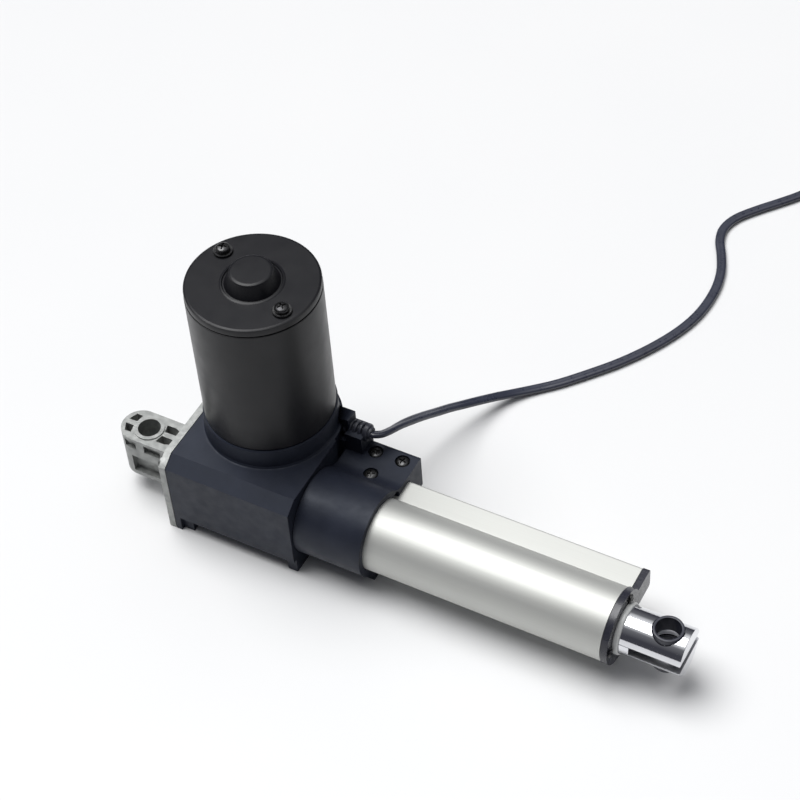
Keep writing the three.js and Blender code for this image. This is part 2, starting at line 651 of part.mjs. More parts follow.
// The wheel has a tooth at the meshing point, a quarter turn back from where the thread starts, so
// the worm's groove is centred there.
function wormShaft() {
  const pressure = Math.tan(THREE.MathUtils.degToRad(20));
  const thickness = WORM_LEAD / 2 - TOOTH_CLEARANCE;
  const root = WORM_PITCH_RADIUS - 1.28 * GEAR_MODULE;
  const crest = WORM_PITCH_RADIUS + GEAR_MODULE;
  const crestWidth = thickness - 2 * pressure * GEAR_MODULE;
  const rootWidth = WORM_LEAD - (thickness + 2 * pressure * (WORM_PITCH_RADIUS - root));
  const thread = threadedBar({
    root,
    crest,
    rootWidth,
    crestWidth,
    lead: WORM_LEAD,
    phase: ROD_AXIS_Z + WORM_LEAD / 4 - rootWidth / 2,
    from: 12,
    to: 30,
    steps: 12,
  });
  const shaft = cylinder('z', [0, 0, 0], 3, 4.2, 120.8, 24);
  return place(thread.add(shaft), 'z', MOTOR_LINE);
}

function motorEndCap() {
  const base = MOTOR_CAN_TOP_Z + GAP;
  const top = MOTOR_TOP_Z;
  const boss = top + MOTOR_BOSS_HEIGHT;
  const body = turned('z', MOTOR_LINE, [
    [0, top + 2.7], [5.6, top + 2.7], [5.6, base], [MOTOR_RADIUS, base], [MOTOR_RADIUS, top - 0.7],
    [MOTOR_RADIUS - 0.7, top], [12.6, top], [11.7, top + 0.5], [8.7, boss - 0.5], [8.1, boss],
    [0, boss],
  ], 64);
  const holes = MOTOR_SCREW_CENTRES.map((centre) => cylinder('z', centre, 1.9, base - 1, top + 1, 12));
  return cut(body, ...holes);
}

function motorCapScrews() {
  return MOTOR_SCREW_CENTRES.map((centre) => panScrew('z', centre,
    { seat: MOTOR_TOP_Z + 1.3, side: 1, head: 2.9, height: 1.9, shank: 1.3, length: 7 }));
}

function motorCapWashers() {
  return MOTOR_SCREW_CENTRES.map((centre) => (
    ring('z', centre, 3.9, 1.7, MOTOR_TOP_Z + GAP, MOTOR_TOP_Z + 1, 20)));
}

// ---------------------------------------------------------------- cord

// Ribbed sleeve with an upright lug at its root, gripping the cord where it leaves the gearbox.
function strainRelief() {
  const start = 27.3;
  const centre = [0, RELIEF_Y, RELIEF_Z];
  const sleeve = cylinder('x', centre, 2.7, start - 1, RELIEF_END_X, 16);
  const ribs = [29, 31.6, 34.2, 36.8].map((x) => cylinder('x', centre, 3.4, x, x + 1.3, 16));
  const lip = cylinder('x', centre, 3.7, RELIEF_END_X - 1, RELIEF_END_X, 16);
  const lug = block(23.7, start, 30, 34.8, CABLE_SHELF_TOP_Z + 0.3, 44.6);
  return union(lug, sleeve, ...ribs, lip);
}

const CORD_ROUTE = [
  [39.5, 32.5, 38.4], [41.1, 32.7, 38.3], [43.4, 34.9, 37.6], [44.9, 39.5, 35.9], [45.9, 45.6, 33.3],
  [47.1, 52.9, 29.5],
  [48.7, 60.8, 25], [50.5, 68.4, 20.5], [52.5, 75.7, 16.5], [54.8, 82.1, 13], [57.7, 88.6, 10],
  [60.5, 94.2, 7.5], [63.8, 100.1, 5], [69.6, 107.7, 2.6], [76, 114.4, 1.6], [82.8, 120.9, CORD_FLOOR_Z],
  [92.1, 131.6, CORD_FLOOR_Z], [101.3, 143.2, CORD_FLOOR_Z], [110.3, 157.4, CORD_FLOOR_Z], [117.3, 172.2, CORD_FLOOR_Z],
  [121.1, 186.4, CORD_FLOOR_Z], [121.8, 201.4, CORD_FLOOR_Z], [119.7, 213.8, CORD_FLOOR_Z], [115.6, 224.2, CORD_FLOOR_Z],
  [111.4, 232.8, CORD_FLOOR_Z], [110, 241.2, CORD_FLOOR_Z], [112.6, 250, CORD_FLOOR_Z], [119.3, 259.4, CORD_FLOOR_Z],
  [126.9, 268.4, CORD_FLOOR_Z], [134, 277.4, CORD_FLOOR_Z], [140.6, 288.4, CORD_FLOOR_Z],
];

// A flat section swept along a curve and kept level, so that the cord lies on its wide side.
function flatSweep(curve, width, thickness, steps) {
  const section = new THREE.Shape();
  for (let side = 0; side < 8; side += 1) {
    const turn = (Math.PI * (side + 0.5)) / 4;
    const point = [(width / 2) * Math.cos(turn), (thickness / 2) * Math.sin(turn)];
    if (side === 0) section.moveTo(...point);
    else section.lineTo(...point);
  }
  const up = new THREE.Vector3(0, 0, 1);
  curve.computeFrenetFrames = (count) => {
    const frames = { tangents: [], normals: [], binormals: [] };
    for (let i = 0; i <= count; i += 1) {
      const tangent = curve.getTangentAt(i / count);
      const normal = new THREE.Vector3().crossVectors(up, tangent).normalize();
      frames.tangents.push(tangent);
      frames.normals.push(normal);
      frames.binormals.push(new THREE.Vector3().crossVectors(tangent, normal));
    }
    return frames;
  };
  return toSolid(new THREE.ExtrudeGeometry(section, { steps, extrudePath: curve, bevelEnabled: false }));
}

function curveThrough(points) {
  return new THREE.CatmullRomCurve3(points.map((point) => new THREE.Vector3(...point)));
}

function coilRing(margin) {
  const half = CORD_WIDTH / 2 + 0.1 + margin;
  const [inner, outer] = [COIL_INNER_TURN - half, COIL_OUTER_TURN + half];
  return ring('z', [...COIL_CENTRE, 0], outer, inner, 0.2 - margin, COIL_TOP_Z + margin, 40);
}

function coilPoint(radius, degrees, z) {
  const turn = THREE.MathUtils.degToRad(degrees);
  return [COIL_CENTRE[0] + radius * Math.cos(turn), COIL_CENTRE[1] + radius * Math.sin(turn), z];
}

// The cord meets the coil on a tangent to its outer turn.
function cordLead() {
  const curve = curveThrough([...CORD_ROUTE, coilPoint(COIL_OUTER_TURN, 158, CORD_FLOOR_Z)]);
  return cut(flatSweep(curve, CORD_WIDTH, CORD_THICKNESS, 64), coilRing(GAP));
}

// The tail leaves the coil's upper turn, clears the coil and comes down to the surface.
const TAIL_ROUTE = [
  coilPoint(34.2, 70, 4.3), coilPoint(36.4, 58, 3.7), coilPoint(38.2, 48, 2.7), coilPoint(39.8, 38, 1.9),
  coilPoint(41.2, 28, CORD_FLOOR_Z), coilPoint(42.4, 19, CORD_FLOOR_Z),
];

function cordTail() {
  return cut(flatSweep(curveThrough(TAIL_ROUTE), CORD_WIDTH, CORD_THICKNESS, 10), coilRing(GAP));
}

// Two-pole plug in line with the end of the tail: tapered grip, body and two contact sleeves.
function cordPlug() {
  const [end, before] = [TAIL_ROUTE.at(-1), TAIL_ROUTE.at(-2)];
  const heading = Math.atan2(end[1] - before[1], end[0] - before[0]);
  const grip = cylinder('x', [0, 0, 0], 2.6, 0.3, 8.5, 12);
  const body = prism('x', roundedRectangle(-5.5, 5.5, -3.4, 3.4, 1.2), 8, 24, 3);
  const sleeves = [-2.6, 2.6].map((y) => cylinder('x', [0, y, 0], 1.7, 24.2 - 1, 30, 12));
  const sockets = [-2.6, 2.6].map((y) => cylinder('x', [0, y, 0], 0.9, 25, 31, 10));
  const plug = toGeometry(cut(union(body, grip, ...sleeves), ...sockets));
  return toSolid(plug.rotateZ(heading).translate(end[0], end[1], 3.6));
}

function coilTie() {
  const middle = coilPoint((COIL_INNER_TURN + COIL_OUTER_TURN) / 2, 270, 0);
  const half = (COIL_OUTER_TURN - COIL_INNER_TURN + CORD_WIDTH) / 2 + 0.6;
  const [x, y] = middle;
  const band = cut(
    block(x - 2.5, x + 2.5, y - half - 0.9, y + half + 0.9, COIL_TOP_Z + GAP - 1.5, COIL_TOP_Z + 1.2),
    coilRing(GAP),
  );
  return band;
}

// ---------------------------------------------------------------- assembly

const finishes = {
  housing: { color: 0x1d1f29, roughness: 0.62, metalness: 0 },
  motor: { color: 0x17181a, roughness: 0.45, metalness: 0.2 },
  castAlloy: { color: 0x8d8f8c, roughness: 0.55, metalness: 0.8 },
  aluminium: { color: 0xc9cac6, roughness: 0.38, metalness: 0.9 },
  chrome: { color: 0xdadada, roughness: 0.08, metalness: 1 },
  steel: { color: 0x9a9c9e, roughness: 0.35, metalness: 0.9 },
  darkScrew: { color: 0x2c2d30, roughness: 0.35, metalness: 0.8 },
  capPlastic: { color: 0x1c1d22, roughness: 0.4, metalness: 0 },
  rubber: { color: 0x141416, roughness: 0.8, metalness: 0 },
  nylon: { color: 0xe6e2d3, roughness: 0.5, metalness: 0 },
  copper: { color: 0xb4683a, roughness: 0.4, metalness: 0.9 },
  carbon: { color: 0x3a3a3c, roughness: 0.7, metalness: 0.1 },
  ferrite: { color: 0x3b3a3a, roughness: 0.8, metalness: 0.1 },
  circuitBoard: { color: 0x2f5a3a, roughness: 0.5, metalness: 0 },
  cord: { color: 0x1a1b24, roughness: 0.5, metalness: 0 },
};

function numbered(name, shapes, finish) {
  return shapes.map((shape, i) => [`${name}_${i + 1}`, shape, finish]);
}

const pieces = [
  ['gearbox_housing', gearboxHousing(), 'housing'],
  ['rear_cover', rearCover(), 'castAlloy'],
  ...numbered('rear_cover_screw', rearCoverScrews(), 'steel'),
  ['worm_wheel', wormWheel(), 'nylon'],
  ['lead_screw', leadScrew(), 'steel'],
  ['rear_bearing', bearing(-18.1, -10.5), 'steel'],
  ['front_bearing', bearing(10.5, 18.3), 'steel'],
  ['screw_retaining_ring', ring('x', ROD_LINE, 7.5, SCREW_RADIUS + GAP, -20.4, -18.9, 20), 'steel'],
  ['drive_nut', driveNut(), 'nylon'],
  ['rod_tube', rodTube(), 'chrome'],
  ['rod_end_fork', rodEnd(), 'chrome'],
  ['pin_bush_upper', pinBush(1), 'capPlastic'],
  ['pin_bush_lower', pinBush(-1), 'capPlastic'],
  ['outer_tube', outerTube(), 'aluminium'],
  ['front_cap', frontCap(), 'capPlastic'],
  ...numbered('front_cap_screw', frontCapScrews(), 'darkScrew'),
  ['wiper_seal', wiperSeal(), 'nylon'],
  ['rod_guide_bush', rodGuide(), 'nylon'],
  ['limit_switch_board', switchBoard(), 'circuitBoard'],
  ['limit_switch_rear', limitSwitch(41), 'carbon'],
  ['limit_switch_front', limitSwitch(139), 'carbon'],
  ['collar', collar(), 'housing'],
  ...numbered('collar_screw', collarScrews(), 'darkScrew'),
  ['motor_front_plate', motorFrontPlate(), 'castAlloy'],
  ['motor_front_bearing', motorBearing(9.6, 43.5, 50.6), 'steel'],
  ['motor_can', motorCan(), 'motor'],
  ['motor_magnet_left', motorMagnet(-1), 'ferrite'],
  ['motor_magnet_right', motorMagnet(1), 'ferrite'],
  ['armature_core', armatureCore(), 'steel'],
  ...numbered('armature_winding', armatureWindings(), 'copper'),
  ['commutator', commutator(), 'copper'],
  ['worm_shaft', wormShaft(), 'steel'],
  ['worm_tail_bush', motorBearing(4.5, 3.8, 9.2), 'copper'],
  ['motor_rear_bush', motorBearing(5.3, MOTOR_TOP_Z - 3, MOTOR_TOP_Z + 2.3), 'copper'],
  ['brush_card', brushCard(), 'circuitBoard'],
  ['brush_left', brush(-1), 'carbon'],
  ['brush_right', brush(1), 'carbon'],
  ['motor_end_cap', motorEndCap(), 'motor'],
  ...numbered('motor_cap_washer', motorCapWashers(), 'steel'),
  ...numbered('motor_cap_screw', motorCapScrews(), 'darkScrew'),
  ['strain_relief', strainRelief(), 'rubber'],
  ['cord_lead', cordLead(), 'cord'],
  ['cord_coil', coilRing(0), 'cord'],
  ['cord_coil_tie', coilTie(), 'rubber'],
  ['cord_tail', cordTail(), 'cord'],
  ['cord_plug', cordPlug(), 'capPlastic'],
];

const actuator = new THREE.Group();
const [middleX, middleY] = [
  (EYE_NOSE_X + ROD_END_X) / 2,
  (HOUSING_SIDE_Y + MOTOR_AXIS_Y + HOUSING_BACK_RADIUS) / 2,
];
const layout = new THREE.Group();
layout.position.set(-middleX, -middleY, 0);
for (const [name, shape, finish] of pieces) {
  const mesh = new THREE.Mesh(toGeometry(shape), new THREE.MeshStandardMaterial(finishes[finish]));
  mesh.name = name;
  layout.add(mesh);
}
actuator.add(layout);

export default actuator;
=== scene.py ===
import math

import bmesh
import bpy
from mathutils import Matrix, Vector


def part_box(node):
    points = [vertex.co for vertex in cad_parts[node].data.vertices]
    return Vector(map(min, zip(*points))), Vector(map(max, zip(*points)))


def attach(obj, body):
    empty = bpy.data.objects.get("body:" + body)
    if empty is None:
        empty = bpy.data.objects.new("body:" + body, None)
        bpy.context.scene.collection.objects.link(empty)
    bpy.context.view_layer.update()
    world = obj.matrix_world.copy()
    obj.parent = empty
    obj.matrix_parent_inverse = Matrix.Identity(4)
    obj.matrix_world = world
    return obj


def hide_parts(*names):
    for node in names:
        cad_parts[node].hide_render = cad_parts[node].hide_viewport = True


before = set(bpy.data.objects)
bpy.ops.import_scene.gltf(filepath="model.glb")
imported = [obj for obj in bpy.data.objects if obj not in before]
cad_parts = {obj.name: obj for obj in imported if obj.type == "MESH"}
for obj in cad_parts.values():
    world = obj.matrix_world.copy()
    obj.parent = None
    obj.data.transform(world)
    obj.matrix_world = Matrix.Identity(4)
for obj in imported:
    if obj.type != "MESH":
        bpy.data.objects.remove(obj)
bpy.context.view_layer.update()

# Linear actuator: an upright motor on a worm gearbox, a guide tube with a switch channel, a chrome push
# rod with a forked end, a cast rear eye and a flat lead. Shapes are drawn in millimetres in a layout whose
# X starts at the motor's axis, whose Y starts at the rod's axis and whose Z starts at the table. X runs
# along the rod and Z up the motor. finish_piece() turns them into the frame's metres.

MM = 0.001


def middle(node):
    """The middle of a CAD node's box, in the frame's metres."""
    low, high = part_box(node)
    return (low + high) / 2


ORIGIN = Vector((middle("motor_can").x, middle("rod_tube").y, 0))
TO_FRAME = Matrix.Translation(ORIGIN) @ Matrix.Scale(MM, 4)
FROM_FRAME = TO_FRAME.inverted()


def span(node):
    """A CAD node's lowest and highest corner, in layout millimetres."""
    return tuple(FROM_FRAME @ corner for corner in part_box(node))


def foot(node):
    """Where the upright line through a CAD node's middle meets the table, in layout millimetres."""
    low, high = span(node)
    return Vector(((low.x + high.x) / 2, (low.y + high.y) / 2, 0))


ROD_Z = (FROM_FRAME @ middle("rod_tube")).z
MOTOR_Y = (FROM_FRAME @ middle("motor_can")).y
ROD_LINE = (0, 0, ROD_Z)
MOTOR_LINE = (0, MOTOR_Y, 0)

# ---------------------------------------------------------------- camera

CAMERA_TARGET = Vector((48.85, 41.78, 53.87))
CAMERA_DISTANCE = 863
CAMERA_AZIMUTH, CAMERA_ELEVATION, CAMERA_ROLL = (math.radians(a) for a in (31.57, 47.79, -4.75))
CAMERA_LENS = 96.4
SENSOR_WIDTH = 36


def make_camera():
    """The photograph's viewing angle, fitted to the object's outlines."""
    data = bpy.data.cameras.new("camera")
    camera = bpy.data.objects.new("camera", data)
    bpy.context.scene.collection.objects.link(camera)
    data.lens = CAMERA_LENS
    data.sensor_width = SENSOR_WIDTH
    data.clip_start, data.clip_end = 0.05, 100
    azimuth, elevation, roll = CAMERA_AZIMUTH, CAMERA_ELEVATION, CAMERA_ROLL
    back = Vector((math.sin(azimuth) * math.cos(elevation), -math.cos(azimuth) * math.cos(elevation),
                   math.sin(elevation)))
    right = (-back).cross(Vector((0, 0, 1))).normalized()
    up = back.cross(right)
    rolled_right = right * math.cos(roll) + up * math.sin(roll)
    rolled_up = up * math.cos(roll) - right * math.sin(roll)
    place = Matrix([[*row] for row in zip(rolled_right, rolled_up, back)]).to_4x4()
    place.translation = TO_FRAME @ (CAMERA_TARGET + back * CAMERA_DISTANCE)
    camera.matrix_world = place
    bpy.context.scene.camera = camera


make_camera()

# ---------------------------------------------------------------- materials


class Paint:
    """A procedural material: a principled shader with noise in its colour, roughness and bump."""

    def __init__(self, name, colour, roughness, metallic=0.0, **sockets):
        self.material = bpy.data.materials.new(name)
        self.material.use_nodes = True
        self.tree = self.material.node_tree
        self.shader = self.tree.nodes["Principled BSDF"]
        self.colour = colour
        self.roughness = roughness
        self.set("Base Color", (*colour, 1))
        self.set("Roughness", roughness)
        self.set("Metallic", metallic)
        for socket, value in sockets.items():
            self.set(socket.replace("_", " "), value)
        self.bumped = None

    def set(self, socket, value):
        self.shader.inputs[socket].default_value = value

    def node(self, kind, **inputs):
        made = self.tree.nodes.new(kind)
        for socket, value in inputs.items():
            made.inputs[socket.replace("_", " ")].default_value = value
        return made

    def link(self, output, target):
        self.tree.links.new(output, target)

    def places(self, stretch=(1, 1, 1)):
        """Object coordinates in millimetres, squeezed along each axis by the stretch."""
        source = self.node("ShaderNodeTexCoord")
        mapping = self.node("ShaderNodeMapping")
        mapping.inputs["Scale"].default_value = [s / MM for s in stretch]
        self.link(source.outputs["Object"], mapping.inputs["Vector"])
        return mapping.outputs["Vector"]

    def noise(self, size, detail=3.0, stretch=(1, 1, 1)):
        """Noise whose features are about `size` millimetres across."""
        made = self.node("ShaderNodeTexNoise", Scale=1 / size, Detail=detail, Roughness=0.5)
        self.link(self.places(stretch), made.inputs["Vector"])
        return made.outputs["Fac"]

    def cells(self, size):
        """Rounded grains about `size` millimetres across, as on a casting."""
        made = self.node("ShaderNodeTexVoronoi", Scale=1 / size)
        self.link(self.places(), made.inputs["Vector"])
        return made.outputs["Distance"]

    def ramp(self, value, low, high):
        """The part of a noise's range that it mostly uses, mapped onto low to high."""
        made = self.node("ShaderNodeMapRange", From_Min=0.3, From_Max=0.7, To_Min=low, To_Max=high)
        self.link(value, made.inputs["Value"])
        return made.outputs["Result"]

    def vary_roughness(self, value, amount):
        """Roughness that wanders by `amount` to either side of the paint's own."""
        self.link(self.ramp(value, self.roughness - amount, self.roughness + amount),
                  self.shader.inputs["Roughness"])
        return self

    def vary_colour(self, value, other):
        """Colour that wanders between the paint's own and another."""
        mix = self.tree.nodes.new("ShaderNodeMix")
        mix.data_type = "RGBA"
        a, b = [s for s in mix.inputs if s.type == "RGBA"]
        a.default_value = (*self.colour, 1)
        b.default_value = (*other, 1)
        self.link(self.ramp(value, 0, 1), mix.inputs["Factor"])
        made = [s for s in mix.outputs if s.type == "RGBA"][0]
        self.link(made, self.shader.inputs["Base Color"])
        return self

    def bump(self, value, depth):
        """Bumps of `depth` millimetres, added on top of any earlier ones."""
        made = self.node("ShaderNodeBump", Strength=1.0, Distance=depth * MM)
        self.link(value, made.inputs["Height"])
        if self.bumped is not None:
            self.link(self.bumped, made.inputs["Normal"])
        self.bumped = made.outputs["Normal"]
        self.link(self.bumped, self.shader.inputs["Normal"])
        return self


def housing_paint():
    paint = Paint("housing_paint", (0.0120, 0.0145, 0.024), 0.5, Specular_IOR_Level=0.32,
                  Specular_Tint=(0.86, 0.91, 1, 1))
    paint.vary_colour(paint.noise(14, 4), (0.0165, 0.020, 0.033))
    paint.vary_roughness(paint.noise(5, 5), 0.07)
    paint.bump(paint.noise(0.9, 4), 0.02)
    return paint.bump(paint.noise(0.28, 2), 0.016)


def motor_paint():
    paint = Paint("motor_paint", (0.006, 0.0062, 0.0085), 0.36, Specular_IOR_Level=0.28)
    paint.vary_colour(paint.noise(22, 4), (0.009, 0.009, 0.011))
    paint.vary_roughness(paint.noise(7, 4), 0.04)
    return paint.bump(paint.noise(0.35, 3), 0.016)


def cast_alloy():
    paint = Paint("cast_alloy", (0.235, 0.242, 0.236), 0.5, 0.6)
    paint.vary_colour(paint.noise(2.4, 6), (0.38, 0.388, 0.378))
    paint.vary_roughness(paint.noise(1.2, 4), 0.1)
    paint.bump(paint.noise(0.5, 4), 0.10)
    return paint.bump(paint.cells(0.55), 0.05)


def anodised_tube():
    paint = Paint("anodised_tube", (0.61, 0.616, 0.592), 0.58, 0.82)
    lines = paint.noise(0.5, 4, stretch=(0.006, 1, 1))
    paint.vary_colour(paint.noise(9, 3, stretch=(0.05, 1, 1)), (0.575, 0.58, 0.555))
    paint.vary_roughness(lines, 0.035)
    paint.bump(lines, 0.004)
    return paint.bump(paint.noise(0.16, 2), 0.004)


def chrome():
    paint = Paint("chrome", (0.79, 0.795, 0.82), 0.08, 1.0)
    paint.vary_roughness(paint.noise(1.5, 4, stretch=(4, 0.4, 0.4)), 0.025)
    paint.vary_colour(paint.noise(12, 3), (0.73, 0.735, 0.765))
    return paint.bump(paint.noise(0.25, 2, stretch=(3, 0.3, 0.3)), 0.0006)


def cap_plastic():
    paint = Paint("cap_plastic", (0.018, 0.019, 0.028), 0.27)
    paint.vary_colour(paint.noise(6, 3), (0.024, 0.025, 0.035))
    paint.vary_roughness(paint.noise(2.5, 4), 0.05)
    return paint.bump(paint.noise(0.6, 3), 0.012)


def rubber():
    paint = Paint("rubber", (0.030, 0.033, 0.046), 0.45)
    paint.vary_colour(paint.noise(5, 3), (0.040, 0.043, 0.058))
    paint.vary_roughness(paint.noise(1.8, 4), 0.08)
    return paint.bump(paint.noise(0.3, 3), 0.02)


def cord_jacket():
    paint = Paint("cord_jacket", (0.022, 0.025, 0.042), 0.3, Specular_IOR_Level=0.65)
    paint.vary_colour(paint.noise(12, 3), (0.030, 0.034, 0.054))
    paint.vary_roughness(paint.noise(3, 4), 0.06)
    return paint.bump(paint.noise(0.5, 3), 0.012)


def metal(name, colour, other, roughness, grain, depth, metallic=1.0):
    """A plain metal with patchy colour and fine machining marks."""
    paint = Paint(name, colour, roughness, metallic)
    paint.vary_colour(paint.noise(3, 4), other)
    paint.vary_roughness(paint.noise(1.2, 4), 0.08)
    return paint.bump(paint.noise(grain, 3), depth)


def plastic(name, colour, other, roughness):
    """A plain moulded or pressed material with a faint mottle and a fine grain."""
    paint = Paint(name, colour, roughness)
    paint.vary_colour(paint.noise(4, 3), other)
    paint.vary_roughness(paint.noise(1.6, 3), 0.06)
    return paint.bump(paint.noise(0.3, 2), 0.015)


paints = {
    "housing": housing_paint(),
    "motor": motor_paint(),
    "cast": cast_alloy(),
    "tube": anodised_tube(),
    "chrome": chrome(),
    "cap": cap_plastic(),
    "bush": plastic("bush_nylon", (0.020, 0.022, 0.034), (0.027, 0.029, 0.044), 0.42),
    "rubber": rubber(),
    "cord": cord_jacket(),
    "steel": metal("steel", (0.52, 0.52, 0.52), (0.42, 0.42, 0.43), 0.3, 0.25, 0.01),
    "zinc": metal("zinc", (0.26, 0.265, 0.26), (0.20, 0.205, 0.20), 0.5, 0.25, 0.01),
    "milled": metal("milled_steel", (0.46, 0.465, 0.49), (0.38, 0.385, 0.405), 0.42, 0.3, 0.01),
    "dark_screw": metal("dark_screw", (0.035, 0.035, 0.038), (0.09, 0.09, 0.09), 0.3, 0.2, 0.01, 0.9),
    "copper": metal("copper", (0.72, 0.33, 0.18), (0.55, 0.24, 0.12), 0.35, 0.4, 0.03),
    "bronze": metal("bronze", (0.55, 0.38, 0.18), (0.44, 0.30, 0.14), 0.45, 0.2, 0.02),
    "ferrite": plastic("ferrite", (0.05, 0.05, 0.05), (0.075, 0.072, 0.07), 0.7),
    "carbon": plastic("carbon", (0.03, 0.03, 0.032), (0.05, 0.05, 0.05), 0.6),
    "nylon": plastic("nylon", (0.78, 0.75, 0.66), (0.70, 0.67, 0.58), 0.42),
    "wiper": plastic("wiper_grey", (0.62, 0.63, 0.62), (0.56, 0.57, 0.56), 0.35),
    "board": plastic("circuit_board", (0.03, 0.15, 0.07), (0.04, 0.20, 0.09), 0.35),
}

# ---------------------------------------------------------------- shapes, in layout millimetres

AXES = {
    "x": Matrix(((0, 0, 1), (1, 0, 0), (0, 1, 0))).to_4x4(),
    "y": Matrix(((0, 1, 0), (0, 0, 1), (1, 0, 0))).to_4x4(),
    "z": Matrix.Identity(4),
}


def mesh_from(bm, name="shape"):
    """A mesh of a bmesh's faces, all turned outwards."""
    bmesh.ops.recalc_face_normals(bm, faces=bm.faces)
    mesh = bpy.data.meshes.new(name)
    bm.to_mesh(mesh)
    bm.free()
    return mesh


def prism(axis, outline, start, end):
    """An outline of two-value points pushed from start to end along an axis (for x they are y and z)."""
    bm = bmesh.new()
    low = [bm.verts.new((u, v, start)) for u, v in outline]
    high = [bm.verts.new((u, v, end)) for u, v in outline]
    bm.faces.new(low)
    bm.faces.new(high)
    for i in range(len(outline)):
        j = (i + 1) % len(outline)
        bm.faces.new((low[i], low[j], high[j], high[i]))
    bm.transform(AXES[axis])
    return mesh_from(bm)


def arc(centre, radius, first, last, steps):
    """Points on an arc, from one angle to another in degrees."""
    angles = [math.radians(first + (last - first) * i / steps) for i in range(steps + 1)]
    return [(centre[0] + radius * math.cos(a), centre[1] + radius * math.sin(a)) for a in angles]


def lathe(axis, centre, profile, sides=96):
    """A profile of radius and distance, turned about an axis. A radius of 0 closes the end."""
    bm = bmesh.new()
    rings = []
    for radius, distance in profile:
        if radius == 0:
            rings.append([bm.verts.new((0, 0, distance))] * sides)
            continue
        turns = [2 * math.pi * i / sides for i in range(sides)]
        rings.append([bm.verts.new((radius * math.cos(t), radius * math.sin(t), distance)) for t in turns])
    closed = profile[0][0] != 0 and profile[-1][0] != 0
    for k in range(len(rings) if closed else len(rings) - 1):
        a, b = rings[k], rings[(k + 1) % len(rings)]
        for i in range(sides):
            j = (i + 1) % sides
            corners = dict.fromkeys((a[i], a[j], b[j], b[i]))
            if len(corners) > 2:
                bm.faces.new(corners)
    bm.transform(Matrix.Translation(centre) @ AXES[axis])
    return mesh_from(bm)


def bar(axis, centre, radius, start, end, sides=64):
    """A solid cylinder."""
    return lathe(axis, centre, [(0, start), (radius, start), (radius, end), (0, end)], sides)


def ring(axis, centre, outer, inner, start, end, sides=96):
    """A straight tube."""
    return lathe(axis, centre, [(inner, start), (outer, start), (outer, end), (inner, end)], sides)


def block(x0, x1, y0, y1, z0, z1):
    return prism("z", [(x0, y0), (x1, y0), (x1, y1), (x0, y1)], z0, z1)


def combine(operation, base, others):
    """Joins the other meshes to the base, or cuts them out of it."""
    target = bpy.data.objects.new("target", base)
    bpy.context.scene.collection.objects.link(target)
    tools = []
    for other in others:
        tool = bpy.data.objects.new("tool", other)
        bpy.context.scene.collection.objects.link(tool)
        modifier = target.modifiers.new("step", "BOOLEAN")
        modifier.operation = operation
        modifier.solver = "EXACT"
        modifier.object = tool
        tools.append(tool)
    graph = bpy.context.evaluated_depsgraph_get()
    result = bpy.data.meshes.new_from_object(target.evaluated_get(graph))
    for used in (target, *tools):
        bpy.data.objects.remove(used)
    return result


def union(base, *others):
    return combine("UNION", base, others)


def cut(base, *others):
    return combine("DIFFERENCE", base, others)


def overlap(base, *others):
    return combine("INTERSECT", base, others)


def finish_piece(name, mesh, paint, body="housing", nodes=(), bevel=0.0, sharp=35):
    """Rounds a mesh's edges, shades it, puts it in the frame and rides it on its body."""
    piece = bpy.data.objects.new(name, mesh)
    bpy.context.scene.collection.objects.link(piece)
    bm = bmesh.new()
    bm.from_mesh(mesh)
    bmesh.ops.remove_doubles(bm, verts=bm.verts, dist=0.002)
    bmesh.ops.dissolve_degenerate(bm, edges=bm.edges, dist=0.002)
    bm.to_mesh(mesh)
    bm.free()
    if bevel:
        modifier = piece.modifiers.new("edges", "BEVEL")
        modifier.width = bevel
        modifier.segments = 3
        modifier.limit_method = "ANGLE"
        modifier.angle_limit = math.radians(sharp)
        modifier.miter_outer = "MITER_ARC"
        graph = bpy.context.evaluated_depsgraph_get()
        rounded = bpy.data.meshes.new_from_object(piece.evaluated_get(graph))
        piece.modifiers.clear()
        piece.data = rounded
    mesh = piece.data
    mesh.transform(TO_FRAME)
    mesh.materials.clear()
    mesh.materials.append(paints[paint].material)
    for polygon in mesh.polygons:
        polygon.use_smooth = True
    mesh.set_sharp_from_angle(angle=math.radians(sharp))
    mesh.name = name
    weighted = piece.modifiers.new("shading", "WEIGHTED_NORMAL")
    weighted.keep_sharp = True
    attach(piece, body)
    if nodes:
        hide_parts(*nodes)
    return piece


# ---------------------------------------------------------------- gearbox and rear eye

HOUSING_TOP = 41.4
CHAMFER_WIDTH, CHAMFER_HEIGHT = 6.1, 4.1
PLATE_BACK = 32
SHELF_TOP = 34.6
CAN_SEAT_RADIUS, CAN_SEAT_Z = 24.7, 43
COVER_SCREWS = [(-15.2, 5.6), (-15.2, 35.4), (27, 6), (27, 36)]
COVER_SCREW_HOLE, COVER_SCREW_DEPTH = 1.8, -20.2
TOUCH_GAP = 0.3
PLATE_THICKNESS = 3
EYE_LINE = (-48.2, 0, 0)
EYE_HALF_WIDTH, EYE_BOTTOM, EYE_TOP = 8.3, 10, 32.3
EYE_BOSS, PIN_RADIUS, POCKET_DEPTH = 6.4, 4.8, 5


def gearbox_outline(near, back):
    """The gearbox's section across the rod, as y and z, with a wide chamfer on its near side."""
    return [(back, 0), (back, HOUSING_TOP), (near + CHAMFER_WIDTH, HOUSING_TOP),
            (near, HOUSING_TOP - CHAMFER_HEIGHT), (near, 0)]


